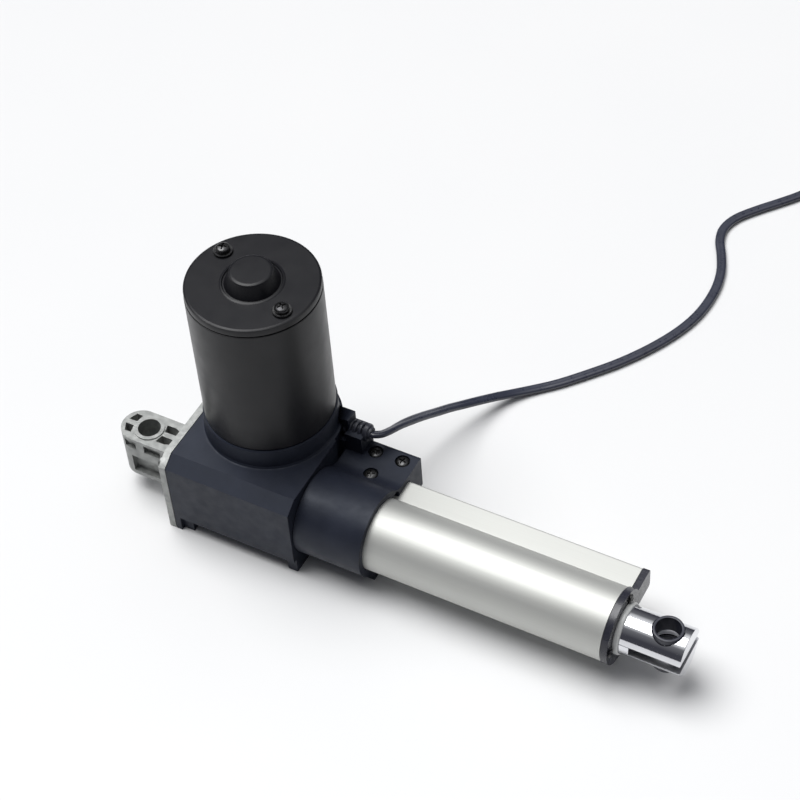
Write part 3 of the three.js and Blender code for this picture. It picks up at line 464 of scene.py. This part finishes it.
def gearbox_housing():
    """A box round the worm wheel, a post and a flared socket for the motor, and a shelf for the lead."""
    low, high = span("gearbox_housing")
    rear, front, near, socket_top = low.x, high.x, low.y, high.z
    back_radius = high.y - MOTOR_Y
    keep = block(rear, 40, -30, 60, -1, 60)
    wheel_low, wheel_high = span("worm_wheel")
    chamber = (wheel_high.z - wheel_low.z) / 2 + 0.6
    bearing_low, bearing_high = span("front_bearing")
    bearing = (bearing_high.z - bearing_low.z) / 2 + TOUCH_GAP
    socket_profile = [
        (0, HOUSING_TOP - 2), (29, HOUSING_TOP - 2), (29, HOUSING_TOP), (28.2, HOUSING_TOP + 0.3),
        (27.75, HOUSING_TOP + 1.2), (27.6, socket_top - 0.5), (27.2, socket_top), (0, socket_top),
    ]
    socket = overlap(lathe("z", MOTOR_LINE, socket_profile, 144), keep)
    post = overlap(bar("z", MOTOR_LINE, back_radius, 0, HOUSING_TOP, 144), keep)
    body = union(
        prism("x", gearbox_outline(near, MOTOR_Y), rear, front),
        block(rear, 0, MOTOR_Y - 1, PLATE_BACK, 0, HOUSING_TOP),
        post,
        socket,
        block(12, front, 27, 36.5, 13.5, SHELF_TOP),
    )
    wheel_side = [
        bar("x", ROD_LINE, chamber, rear - 1, 9),
        bar("x", ROD_LINE, bearing, 8, 18.6),
        bar("x", ROD_LINE, 10.5, 18, 31),
    ]
    worm_side = [
        bar("z", MOTOR_LINE, 6.6, 9.3, CAN_SEAT_Z + 1),
        bar("z", MOTOR_LINE, 4.8, 3.5, 10),
        bar("z", MOTOR_LINE, CAN_SEAT_RADIUS, CAN_SEAT_Z, socket_top + 1),
        block(23.4, 31, 29.5, 35.5, SHELF_TOP - 0.1, 45),
    ]
    base_recess = [
        block(-24.8, 31, near - 1, near + 1.8, -1, 7.6),
        block(-19.9, 25.5, near - 1, near + 5, -1, 7.6),
    ]
    holes = [bar("x", (0, y, z), COVER_SCREW_HOLE, rear - 1, COVER_SCREW_DEPTH, 24)
             for y, z in COVER_SCREWS]
    body = cut(body, *wheel_side, *worm_side, *base_recess, *holes)
    finish_piece("gearbox_housing_cast", body, "housing", nodes=["gearbox_housing"],
                 bevel=0.3, sharp=25)


def mirrored(outline):
    """The outline and its mirror image across the rod's plane."""
    return [outline, [(x, -y) for x, y in reversed(outline)]]


def rear_cover():
    """A plate with a bearing spigot in front and, behind, an eye with casting pockets all round."""
    low, _ = span("rear_cover")
    plate_front = span("gearbox_housing")[0].x - TOUCH_GAP
    plate_rear = plate_front - PLATE_THICKNESS
    half, bottom, top = EYE_HALF_WIDTH, EYE_BOTTOM, EYE_TOP
    plan = [(plate_rear + 1, -half), (plate_rear + 1, half)] + arc((low.x + half, 0), half, 90, 270, 40)
    body = union(
        prism("x", gearbox_outline(low.y, PLATE_BACK), plate_rear, plate_front),
        ring("x", ROD_LINE, 17.7, 13.3, plate_front - 1, -10.4),
        ring("x", ROD_LINE, 17.7, 9, plate_front - 1, -18.4),
        prism("z", plan, bottom, top),
        bar("z", EYE_LINE, EYE_BOSS, bottom - 0.6, top + 0.6, 72),
    )
    nose_pocket = [(-59, 1.2), (-55.2, 1.2), (-54.4, 4.9), (-57.4, 4.9)]
    root_pocket = [(-41.4, 1.2), (-35.8, 1.2), (-35.9, 4), (-37.9, 4.8), (-42.3, 4.8)]
    cuts = []
    for outline in mirrored(nose_pocket) + mirrored(root_pocket):
        cuts.append(prism("z", outline, top - POCKET_DEPTH, top + 1))
        cuts.append(prism("z", outline, bottom - 1, bottom + POCKET_DEPTH))
    side_pockets = [(-56.1, -50.4, 6.4, 26.3, 30.6), (-46.5, -38.4, 6.4, 26.3, 30.6),
                    (-53.5, -36, 5.6, bottom + 2.2, 21.6)]
    for side in (-1, 1):
        for x0, x1, inner, z0, z1 in side_pockets:
            y0, y1 = sorted((side * inner, side * (half + 1)))
            cuts.append(block(x0, x1, y0, y1, z0, z1))
    cuts += [bar("x", (0, y, z), COVER_SCREW_HOLE, plate_rear - 1, plate_front + 1, 24)
             for y, z in COVER_SCREWS]
    cuts.append(bar("z", EYE_LINE, PIN_RADIUS, 0, 40, 72))
    finish_piece("rear_cover_cast", cut(body, *cuts), "cast", nodes=["rear_cover"],
                 bevel=0.32)


def cross_screw(head, height, shank, length):
    """A pan-head screw with a cross recess, standing on z = 0 with its shank below."""
    dome = [(shank, 0), (head * 0.97, 0), (head, height * 0.12), (head, height * 0.4)]
    dome += [(head * math.cos(a), height * (0.4 + 0.6 * math.sin(a)))
             for a in (math.radians(d) for d in (15, 30, 45, 60, 75))]
    body = lathe("z", (0, 0, 0), [(0, -length), (shank, -length), *dome, (0, height)], 48)
    arm, half = head * 0.6, head * 0.12
    recess = [block(-u, u, -v, v, height * 0.35, height + 1) for u, v in ((arm, half), (half, arm))]
    centre = lathe("z", (0, 0, 0), [(0, height * 0.3), (head * 0.3, height * 1.1), (0, height * 1.1)], 24)
    return cut(body, *recess, centre)


def put_screws(node, count, paint, axis, flip=False, turn=25, **size):
    """Cross-head screws in the places of the numbered CAD screws, each turned a little further."""
    template = cross_screw(**size)
    for i in range(count):
        name = f"{node}_{i + 1}"
        low, high = span(name)
        seat = (low + high) / 2
        along = "xyz".index(axis)
        seat[along] = low[along] + size["height"] if flip else high[along] - size["height"]
        mesh = template.copy()
        spin = Matrix.Rotation(math.radians(turn * (i + 1) * 1.7), 4, "Z")
        turned_over = Matrix.Rotation(math.pi, 4, "X") if flip else Matrix.Identity(4)
        mesh.transform(Matrix.Translation(seat) @ AXES[axis] @ turned_over @ spin)
        finish_piece(f"{name}_head", mesh, paint, nodes=[name], bevel=0.07, sharp=40)


gearbox_housing()
rear_cover()
put_screws("rear_cover_screw", 4, "zinc", "x", flip=True, head=3, height=2, shank=1.5, length=10.2)

# ---------------------------------------------------------------- motor

CAN_WALL, BOSS_HEIGHT, CAP_SCREW_HOLE = 1.6, 6, 1.9


def motor_can():
    low, high = span("motor_can")
    outer = (high.x - low.x) / 2
    inner = outer - CAN_WALL
    lip = 0.5
    profile = [(inner, low.z), (outer - lip, low.z), (outer - 0.15, low.z + 0.15), (outer, low.z + lip),
               (outer, high.z - lip), (outer - 0.15, high.z - 0.15), (outer - lip, high.z), (inner, high.z)]
    mesh = lathe("z", MOTOR_LINE, profile, 192)
    finish_piece("motor_can_shell", mesh, "motor", nodes=["motor_can"])


def motor_end_cap():
    """A turned disc with a groove round a raised boss, and a pocket below for the rear bush."""
    low, high = span("motor_end_cap")
    outer = (high.x - low.x) / 2
    base, boss = low.z, high.z
    top = boss - BOSS_HEIGHT
    profile = [(0, base), (outer - 0.6, base), (outer - 0.25, base + 0.2), (outer - 0.15, base + 0.6),
               (outer - 0.15, top - 0.9), (outer - 0.35, top - 0.35), (outer - 0.9, top - 0.05),
               (outer - 1.3, top), (12.9, top), (12.5, top + 0.25), (12.0, top + 0.3), (11.6, top - 0.25),
               (11.1, top - 0.2), (8.85, boss - 0.9), (8.5, boss - 0.35), (7.9, boss - 0.05), (7.3, boss),
               (0, boss)]
    solid = lathe("z", MOTOR_LINE, profile, 192)
    pocket = bar("z", MOTOR_LINE, 5.6, base - 1, top + 2.7)
    holes = [bar("z", foot(f"motor_cap_screw_{i}"), CAP_SCREW_HOLE, base - 1, top + 1, 32) for i in (1, 2)]
    finish_piece("motor_end_cap_turned", cut(solid, pocket, *holes), "motor", nodes=["motor_end_cap"],
                 sharp=28)


def motor_washers():
    for i in (1, 2):
        name = f"motor_cap_washer_{i}"
        low, high = span(name)
        outer, inner, edge = (high.x - low.x) / 2, 1.7, 0.15
        profile = [(inner, low.z), (outer, low.z), (outer, high.z - edge), (outer - edge, high.z),
                   (inner, high.z)]
        finish_piece(f"{name}_disc", lathe("z", foot(name), profile, 64), "dark_screw", nodes=[name])


motor_can()
motor_end_cap()
motor_washers()
put_screws("motor_cap_screw", 2, "dark_screw", "z", turn=31, head=2.9, height=1.9, shank=1.3, length=7)

# ---------------------------------------------------------------- guide tube, cap and collar

TUBE_RADIUS, TUBE_BORE, TUBE_WALL = 15.2, 12.9, 1.6
CHANNEL_BACK, CHANNEL_LOW, CHANNEL_TOP = 25.4, 17.6, 26.85
CAP_SCREW_ANGLES = (63, 183, 303)
CAP_SCREW_RIB, CAP_SCREW_PILOT, CAP_SCREW_REACH = 1.9, 1.1, 11
CAP_MARGIN, CAP_BORE = 0.4, 10.7


def cap_screw_lines():
    """The front cap's screws stand on the bore's wall, in ribs of the tube."""
    turns = [math.radians(angle) for angle in CAP_SCREW_ANGLES]
    return [(0, TUBE_BORE * math.cos(turn), ROD_Z + TUBE_BORE * math.sin(turn)) for turn in turns]


def tube_outline(margin=0.0, corner=0.9):
    """The tube's section: a round with the switch channel on its back, as y and z."""
    radius = TUBE_RADIUS + margin
    top, low, back = CHANNEL_TOP - ROD_Z + margin, CHANNEL_LOW - ROD_Z - margin, CHANNEL_BACK + margin
    first = math.degrees(math.asin(top / radius))
    last = 360 + math.degrees(math.asin(low / radius))
    points = arc((0, 0), radius, first, last, 120)
    points += arc((back - corner, low + corner), corner, 270, 360, 5)
    points += arc((back - corner, top - corner), corner, 0, 90, 5)
    return [(y, z + ROD_Z) for y, z in points]


def outer_tube():
    low, high = span("outer_tube")
    start, end = low.x, high.x
    hollow = union(
        bar("x", ROD_LINE, TUBE_BORE, start - 1, end + 1, 120),
        block(start - 1, end + 1, 9, CHANNEL_BACK - TUBE_WALL, CHANNEL_LOW + TUBE_WALL,
              CHANNEL_TOP - TUBE_WALL),
    )
    body = cut(prism("x", tube_outline(), start, end), hollow)
    lines = cap_screw_lines()
    ribs = [bar("x", line, CAP_SCREW_RIB, start, end, 32) for line in lines]
    holes = [bar("x", line, CAP_SCREW_PILOT, end - CAP_SCREW_REACH, end + 1, 24) for line in lines]
    finish_piece("outer_tube_extrusion", cut(union(body, *ribs), *holes), "tube", nodes=["outer_tube"],
                 bevel=0.2, sharp=30)


def front_cap():
    low, high = span("front_cap")
    start, end = low.x, high.x
    body = prism("x", tube_outline(CAP_MARGIN, corner=1.4), start, end)
    bore = bar("x", ROD_LINE, CAP_BORE, start - 1, end + 1, 120)
    holes = [bar("x", line, CAP_SCREW_PILOT, start - 1, end + 1, 24) for line in cap_screw_lines()]
    finish_piece("front_cap_moulding", cut(body, bore, *holes), "cap", nodes=["front_cap"],
                 bevel=0.3)


def wiper_seal():
    """The wiper, whose pale lip stands out of the cap round the rod."""
    start, tip = (corner.x for corner in span("wiper_seal"))
    face = span("front_cap")[1].x
    inner = 9.9
    profile = [(inner, start), (10.4, start), (10.4, face + 0.3), (10.8, face + 0.3),
               (10.8, tip - 0.7), (10.72, tip - 0.5), (10.45, tip - 0.1), (10.3, tip),
               (inner + 0.15, tip), (inner, tip - 0.15)]
    finish_piece("wiper_seal_lip", lathe("x", ROD_LINE, profile, 120), "wiper", nodes=["wiper_seal"])


COLLAR_RADIUS, COLLAR_TOP, COLLAR_BACK, COLLAR_LOW = 18.4, 30.2, 36.5, 13.5
COLLAR_END_CORNER = 1.2


def collar_outline():
    """Round the tube, flat over the channel, with a fillet where the flat meets the round."""
    radius, fillet, corner = COLLAR_RADIUS, 9, 2
    rise, drop = COLLAR_TOP - ROD_Z, COLLAR_LOW - ROD_Z
    fillet_y = math.sqrt((radius + fillet) ** 2 - (rise + fillet) ** 2)
    touch = math.degrees(math.atan2(rise + fillet, fillet_y))
    points = arc((COLLAR_BACK - corner, rise - corner), corner, 90, 0, 8)
    points += arc((COLLAR_BACK - corner, drop + corner), corner, 0, -90, 8)
    points += arc((0, 0), radius, math.degrees(math.asin(drop / radius)), touch - 360, 110)
    points += arc((fillet_y, rise + fillet), fillet, touch + 180, 270, 16)[1:]
    return [(y, z + ROD_Z) for y, z in points]


def collar():
    """A clamp round the tube, with a foot, a block behind the motor and three sunk screws."""
    low, high = span("collar")
    start, end = low.x, high.x
    centres = [foot(f"collar_screw_{i}") for i in (1, 2, 3)]
    body = union(
        prism("x", collar_outline(), start, end),
        block(start, 37.8, 27, COLLAR_BACK, COLLAR_TOP - 3, high.z),
        block(end - 6.5, end, -8, 8, 0, 6),
    )
    corner_x, corner_y = end - COLLAR_END_CORNER, COLLAR_BACK - COLLAR_END_CORNER
    outside_corner = arc((corner_x, corner_y), COLLAR_END_CORNER, 0, 90, 8)
    outside_corner += [(corner_x, COLLAR_BACK + 1), (end + 1, COLLAR_BACK + 1), (end + 1, corner_y)]
    body = cut(
        body,
        prism("x", tube_outline(TOUCH_GAP), start - 1, end + 1),
        block(start - 1, end - 3, CHANNEL_BACK - 1, COLLAR_BACK - 2.4, COLLAR_LOW + 2.4, COLLAR_TOP - 2.6),
        bar("x", (0, 13.9, CHANNEL_TOP + 2), 2.6, end - 4, end + 1, 48),
        prism("z", outside_corner, 0, 40),
    )
    posts = [bar("z", centre, 3, COLLAR_LOW + 1, COLLAR_TOP - 2, 32) for centre in centres[:2]]
    sinks = [bar("z", centre, 3.2, COLLAR_TOP - 1.6, COLLAR_TOP + 1, 48) for centre in centres]
    holes = [bar("z", centre, 1.5, bottom, 30, 24) for centre, bottom in zip(centres, (20, 20, 26))]
    finish_piece("collar_moulding", cut(union(body, *posts), *sinks, *holes), "housing", nodes=["collar"],
                 bevel=0.3)


outer_tube()
front_cap()
wiper_seal()
collar()
put_screws("front_cap_screw", 3, "dark_screw", "x", turn=40, head=1.8, height=0.9, shank=0.8, length=12)
put_screws("collar_screw", 3, "dark_screw", "z", turn=23, head=2.8, height=1.7, shank=1.2, length=1.6)

# ---------------------------------------------------------------- push rod

SLOT_START, SLOT_HALF = 172.6, 2.2
ROD_BORE, FORK_SPIGOT, BUSH_HOLE, BUSH_BORE = 7.5, 7.2, 6.5, 5


def rod_tube():
    low, high = span("rod_tube")
    outer = (high.z - low.z) / 2
    mesh = ring("x", ROD_LINE, outer, ROD_BORE, low.x, high.x, 128)
    finish_piece("rod_tube_polished", mesh, "chrome", body="rod", nodes=["rod_tube"],
                 bevel=0.1)


def rod_end():
    """The rod's end, slotted and bored across. The slot's faces are left as milled."""
    low, high = span("rod_end_fork")
    radius = (high.z - low.z) / 2
    joint = span("rod_tube")[1].x + TOUCH_GAP
    profile = [(0, low.x), (FORK_SPIGOT, low.x), (FORK_SPIGOT, joint), (radius, joint),
               (radius, high.x - 0.5), (radius - 0.15, high.x - 0.15), (radius - 0.5, high.x), (0, high.x)]
    slot = block(SLOT_START, high.x + 1, -11, 11, ROD_Z - SLOT_HALF, ROD_Z + SLOT_HALF)
    pin = bar("z", foot("pin_bush_upper"), BUSH_HOLE, 5, 40, 96)
    body = cut(lathe("x", ROD_LINE, profile, 128), slot, pin)
    piece = finish_piece("rod_end_polished", body, "chrome", body="rod",
                         nodes=["rod_end_fork"], bevel=0.18)
    piece.data.materials.append(paints["milled"].material)
    for polygon in piece.data.polygons:
        place = FROM_FRAME @ polygon.center
        if place.x > SLOT_START - 0.05 and abs(place.z - ROD_Z) < SLOT_HALF + 0.02:
            polygon.material_index = 1


def pin_bush(node):
    """A flanged sleeve in one of the fork's jaws, with its face outwards."""
    low, high = span(node)
    outer, inner = (high.x - low.x) / 2, BUSH_BORE
    face, tail, step = (high.z, low.z, 1) if node.endswith("upper") else (low.z, high.z, -1)
    profile = [(inner, tail), (outer, tail), (outer, face - 0.4 * step), (outer - 0.12, face - 0.12 * step),
               (outer - 0.4, face), (inner + 0.4, face), (inner + 0.1, face - 0.1 * step),
               (inner, face - 0.4 * step)]
    finish_piece(f"{node}_sleeve", lathe("z", foot(node), profile, 96), "bush", body="rod", nodes=[node])


rod_tube()
rod_end()
pin_bush("pin_bush_upper")
pin_bush("pin_bush_lower")

# ---------------------------------------------------------------- lead

RELIEF_Y, RELIEF_Z, RELIEF_RIBS = 32.5, 38.4, 4
CORD_WIDTH, CORD_THICKNESS = 4.4, 2.6
BOOT_TWIST, TWIST_TOP, TWIST_BOTTOM = -24, 36.2, 30
COIL_CENTRE = (174, 288)
COIL_INNER_TURN, COIL_OUTER_TURN = 26.5, 31.1
COIL_FIRST, COIL_LAST, COIL_STEP = 158, -982, 12
MOVES_INWARD, RISES, MOVES_OUTWARD = (-162, -202), (-482, -522), (-802, -842)
LOWER_TURN_Z, UPPER_TURN_Z, PLUG_Z = 1.55, 4.35, 3.6

FALLING_ROUTE = [
    (39.5, 32.5, 38.4), (41.1, 32.7, 38.3), (43.4, 34.9, 37.6), (44.9, 39.5, 35.9), (45.9, 45.6, 33.3),
    (47.1, 52.9, 29.5), (48.7, 60.8, 25), (50.5, 68.4, 20.5), (52.5, 75.7, 16.5), (54.8, 82.1, 13),
    (57.7, 88.6, 10), (60.5, 94.2, 7.5), (63.8, 100.1, 5), (69.6, 107.7, 2.6), (76, 114.4, 1.6),
]
TABLE_ROUTE = [
    (82.8, 120.9), (92.1, 131.6), (101.3, 143.2), (110.3, 157.4), (117.3, 172.2), (121.1, 186.4),
    (121.8, 201.4), (119.7, 213.8), (115.6, 224.2), (111.4, 232.8), (110, 241.2), (112.6, 250),
    (119.3, 259.4), (126.9, 268.4), (134, 277.4), (140.6, 288.4),
]
CORD_ROUTE = FALLING_ROUTE + [(x, y, LOWER_TURN_Z) for x, y in TABLE_ROUTE]


def coil_point(radius, degrees, z):
    turn = math.radians(degrees)
    return (COIL_CENTRE[0] + radius * math.cos(turn), COIL_CENTRE[1] + radius * math.sin(turn), z)


def eased(value, first, last):
    """0 before first, 1 after last, and a smooth step between them. first may be above last."""
    t = min(1, max(0, (value - first) / (last - first)))
    return t * t * (3 - 2 * t)


def coil_turns():
    """Clockwise turns: lower outer, lower inner, upper inner and upper outer."""
    points = []
    for degrees in range(COIL_FIRST, COIL_LAST - 1, -COIL_STEP):
        inward = eased(degrees, *MOVES_INWARD)
        outward = eased(degrees, *MOVES_OUTWARD)
        rise = eased(degrees, *RISES)
        radius = COIL_OUTER_TURN + (COIL_INNER_TURN - COIL_OUTER_TURN) * (inward - outward)
        z = LOWER_TURN_Z + (UPPER_TURN_Z - LOWER_TURN_Z) * rise
        points.append(coil_point(radius, degrees, z))
    return points


# The tail leaves the coil's upper turn, clears the coil and comes down to the table.
TAIL_ROUTE = [
    coil_point(31.7, 86, UPPER_TURN_Z), coil_point(34.2, 70, 4.3), coil_point(36.4, 58, 3.7),
    coil_point(38.2, 48, 2.7), coil_point(39.8, 38, 1.9), coil_point(41.2, 28, LOWER_TURN_Z),
    coil_point(42.4, 19, LOWER_TURN_Z),
]


def smooth_path(points, steps):
    """A curve through the points, with this many steps from each to the next."""
    pins = [Vector(p) for p in points]
    pins = [2 * pins[0] - pins[1], *pins, 2 * pins[-1] - pins[-2]]
    made = []
    for k in range(1, len(pins) - 2):
        a, b, c, d = pins[k - 1:k + 3]
        for step in range(steps):
            t = step / steps
            made.append(0.5 * ((2 * b) + (c - a) * t + (2 * a - 5 * b + 4 * c - d) * t * t
                               + (3 * b - a - 3 * c + d) * t ** 3))
    made.append(pins[-2])
    return made


def cord_section(sides=28):
    """The flat twin lead's outline: two round cores side by side in one jacket."""
    points = []
    for i in range(sides):
        turn = 2 * math.pi * i / sides
        across = CORD_WIDTH / 2 * math.copysign(abs(math.cos(turn)) ** 0.8, math.cos(turn))
        dip = 1 - 0.15 * math.exp(-(across / 0.55) ** 2)
        up = CORD_THICKNESS / 2 * math.copysign(abs(math.sin(turn)) ** 0.75, math.sin(turn)) * dip
        points.append((across, up))
    return points


def sweep_lead(path, section):
    """Pushes a section along a path. The lead leaves the boot tilted and soon lies on its wide side."""
    bm = bmesh.new()
    rings = []
    for i, point in enumerate(path):
        tangent = (path[min(i + 1, len(path) - 1)] - path[max(i - 1, 0)]).normalized()
        side = Vector((0, 0, 1)).cross(tangent).normalized()
        tilt = math.radians(BOOT_TWIST) * (1 - eased(point.z, TWIST_TOP, TWIST_BOTTOM))
        side = Matrix.Rotation(tilt, 3, tangent) @ side
        up = tangent.cross(side)
        rings.append([bm.verts.new(point + side * u + up * v) for u, v in section])
    for a, b in zip(rings, rings[1:]):
        for i in range(len(section)):
            j = (i + 1) % len(section)
            bm.faces.new((a[i], a[j], b[j], b[i]))
    bm.faces.new(rings[0])
    bm.faces.new(rings[-1])
    return mesh_from(bm)


def strain_relief():
    """A square lug, and a ribbed boot round the lead with a short neck at its end."""
    low, high = span("strain_relief")
    start, end = low.x + 3.6, high.x
    centre = (0, RELIEF_Y, RELIEF_Z)
    ribs = []
    pitch = (end - 2.2 - start - 0.6) / RELIEF_RIBS
    for i in range(RELIEF_RIBS):
        x = start + 0.6 + pitch * i
        ribs.append(lathe("x", centre, [(0, x), (3.0, x), (3.35, x + 0.2), (3.5, x + 0.75), (3.35, x + 1.3),
                                        (3.0, x + 1.5), (0, x + 1.5)], 48))
    lip = lathe("x", centre, [(0, end - 2.2), (3.4, end - 2.2), (3.7, end - 1.9), (3.7, end - 0.3),
                              (3.3, end), (0, end)], 48)
    neck = lathe("x", centre, [(0, end - 1), (2.9, end - 1), (2.7, end + 0.9), (2.3, end + 1.1),
                               (0, end + 1.1)], 48)
    core = bar("x", centre, 2.2, start - 1, end - 1, 32)
    spines = [block(start - 0.5, end - 1, RELIEF_Y - 3, RELIEF_Y + 3, RELIEF_Z - 0.8, RELIEF_Z + 0.8),
              block(start - 0.5, end - 1, RELIEF_Y - 0.8, RELIEF_Y + 0.8, RELIEF_Z - 3, RELIEF_Z)]
    lug = block(low.x, start, 30, 34.8, low.z, high.z)
    mesh = union(lug, core, *ribs, lip, *spines)
    finish_piece("strain_relief_boot", mesh, "rubber", nodes=["strain_relief"], bevel=0.16)
    finish_piece("strain_relief_neck", neck, "rubber")


def cord_plug(end, heading):
    """A two-pole in-line connector: ribbed grip, flat body with a latch, and two contact barrels."""
    grip = [(0, -0.5), (2.9, -0.5), (3.1, 0.2)]
    for x in (1.2, 3.4, 5.6):
        grip += [(3.3, x), (3.3, x + 1.1), (2.7, x + 1.3), (2.7, x + 2.0)]
    grip += [(3.3, 8.6), (0, 8.6)]
    body_outline = (arc((4.3, 2.2), 1.2, 0, 90, 5) + arc((-4.3, 2.2), 1.2, 90, 180, 5)
                    + arc((-4.3, -2.2), 1.2, 180, 270, 5) + arc((4.3, -2.2), 1.2, 270, 360, 5))
    shell = union(lathe("x", (0, 0, 0), grip, 40), prism("x", body_outline, 8, 23.6),
                  block(10, 20, -1.6, 1.6, 3, 4.0))
    barrel = [(0, 22.5), (1.75, 22.5), (1.75, 28.9), (1.5, 29.3), (0.9, 29.3), (0.9, 26), (0, 26)]
    mesh = union(shell, *(lathe("x", (0, y, 0), barrel, 32) for y in (-2.6, 2.6)))
    turn = math.atan2(heading.y, heading.x)
    mesh.transform(Matrix.Translation((end.x, end.y, PLUG_Z)) @ Matrix.Rotation(turn, 4, "Z"))
    return finish_piece("cord_plug_body", mesh, "cap", nodes=["cord_plug"], bevel=0.25)


def coil_tie():
    """A strap round the coil's section, with a raised buckle on its outer side."""
    x, y, _ = coil_point((COIL_INNER_TURN + COIL_OUTER_TURN) / 2, 270, 0)
    half = (COIL_OUTER_TURN - COIL_INNER_TURN + CORD_WIDTH) / 2
    top = UPPER_TURN_Z + CORD_THICKNESS / 2
    outer = [(y - half - 0.9, 0.05), (y + half + 0.9, 0.05), (y + half + 0.9, top + 0.4),
             (y + half + 0.2, top + 1.1), (y - half - 0.2, top + 1.1), (y - half - 0.9, top + 0.4)]
    inner = [(y - half - 0.1, 0.2), (y + half + 0.1, 0.2), (y + half + 0.1, top + 0.1),
             (y - half - 0.1, top + 0.1)]
    strap = cut(prism("x", outer, x - 2.2, x + 2.2), prism("x", inner, x - 3, x + 3))
    buckle = block(x - 2.5, x + 2.5, y - 1.8, y + 1.8, top + 0.9, top + 1.3)
    return finish_piece("coil_tie_strap", union(strap, buckle), "rubber", nodes=["cord_coil_tie"],
                        bevel=0.15)


def lead():
    path = smooth_path([*CORD_ROUTE, *coil_turns(), *TAIL_ROUTE], 4)
    mesh = sweep_lead(path, cord_section())
    cord = finish_piece("cord_jacket_run", mesh, "cord", nodes=["cord_lead", "cord_coil", "cord_tail"],
                        sharp=60)
    plug = cord_plug(path[-1], path[-1] - path[-2])
    tie = coil_tie()


strain_relief()
lead()

# ---------------------------------------------------------------- carried-over CAD nodes

CARRIED = {
    "steel": ["lead_screw", "rear_bearing", "front_bearing", "screw_retaining_ring", "motor_front_bearing",
              "armature_core", "worm_shaft"],
    "nylon": ["worm_wheel", "drive_nut", "rod_guide_bush"],
    "board": ["limit_switch_board", "brush_card"],
    "carbon": ["brush_left", "brush_right"],
    "cap": ["limit_switch_rear", "limit_switch_front"],
    "cast": ["motor_front_plate"],
    "ferrite": ["motor_magnet_left", "motor_magnet_right"],
    "copper": ["armature_winding_1", "armature_winding_2", "commutator"],
    "bronze": ["worm_tail_bush", "motor_rear_bush"],
}

for finish, nodes in CARRIED.items():
    for node in nodes:
        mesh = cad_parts[node].data
        mesh.materials.clear()
        mesh.materials.append(paints[finish].material)

# ---------------------------------------------------------------- table and light

# LIGHT_DIRECTION is the way the light travels. ROOM_UP is the way the room gets brighter, and each room
# tone is where on that way it sits, from level at 0 to overhead at 1, and its colour.
FLOOR_HALF = 25
LIGHT_DIRECTION = (780, -40, -2060)
LIGHT_DEGREES, LIGHT_STRENGTH = 45, 3.0
ROOM_UP = (0, 0.12, 0.99)
ROOM_SIDES, ROOM_SHOULDER, ROOM_CEILING = (
    (0.3, (0.055, 0.056, 0.068, 1)), (0.72, (0.16, 0.163, 0.175, 1)), (0.92, (0.9, 0.91, 0.92, 1)))


def table_top():
    """A plain pale floor that reaches past the edge of every view."""
    paint = Paint("table_white", (0.765, 0.765, 0.765), 0.5)
    paint.vary_colour(paint.noise(160, 2), (0.75, 0.753, 0.757))
    bm = bmesh.new()
    bmesh.ops.create_grid(bm, x_segments=1, y_segments=1, size=FLOOR_HALF)
    floor = bpy.data.objects.new("table_top", mesh_from(bm, "table_top"))
    floor.data.materials.append(paint.material)
    bpy.context.scene.collection.objects.link(floor)


def soft_light():
    """One wide, soft source high on the left, the same strength all over the table."""
    data = bpy.data.lights.new("soft_light", "SUN")
    data.angle = math.radians(LIGHT_DEGREES)
    data.energy = LIGHT_STRENGTH
    lamp = bpy.data.objects.new("soft_light", data)
    bpy.context.scene.collection.objects.link(lamp)
    lamp.rotation_euler = Vector(LIGHT_DIRECTION).to_track_quat("-Z", "Y").to_euler()


def room_light():
    """A dim room all round, which only gets bright near the ceiling."""
    world = bpy.data.worlds.new("room")
    bpy.context.scene.world = world
    world.use_nodes = True
    tree = world.node_tree
    background = tree.nodes["Background"]
    coordinates = tree.nodes.new("ShaderNodeTexCoord")
    dot = tree.nodes.new("ShaderNodeVectorMath")
    dot.operation = "DOT_PRODUCT"
    dot.inputs[1].default_value = ROOM_UP
    ramp = tree.nodes.new("ShaderNodeValToRGB")
    tree.links.new(coordinates.outputs["Generated"], dot.inputs[0])
    tree.links.new(dot.outputs["Value"], ramp.inputs["Fac"])
    tree.links.new(ramp.outputs["Color"], background.inputs["Color"])
    low, high = ramp.color_ramp.elements
    low.position, low.color = ROOM_SIDES
    high.position, high.color = ROOM_CEILING
    ramp.color_ramp.elements.new(ROOM_SHOULDER[0]).color = ROOM_SHOULDER[1]
    background.inputs["Strength"].default_value = 1.0


table_top()
room_light()
soft_light()
bpy.context.scene.view_settings.view_transform = "Standard"
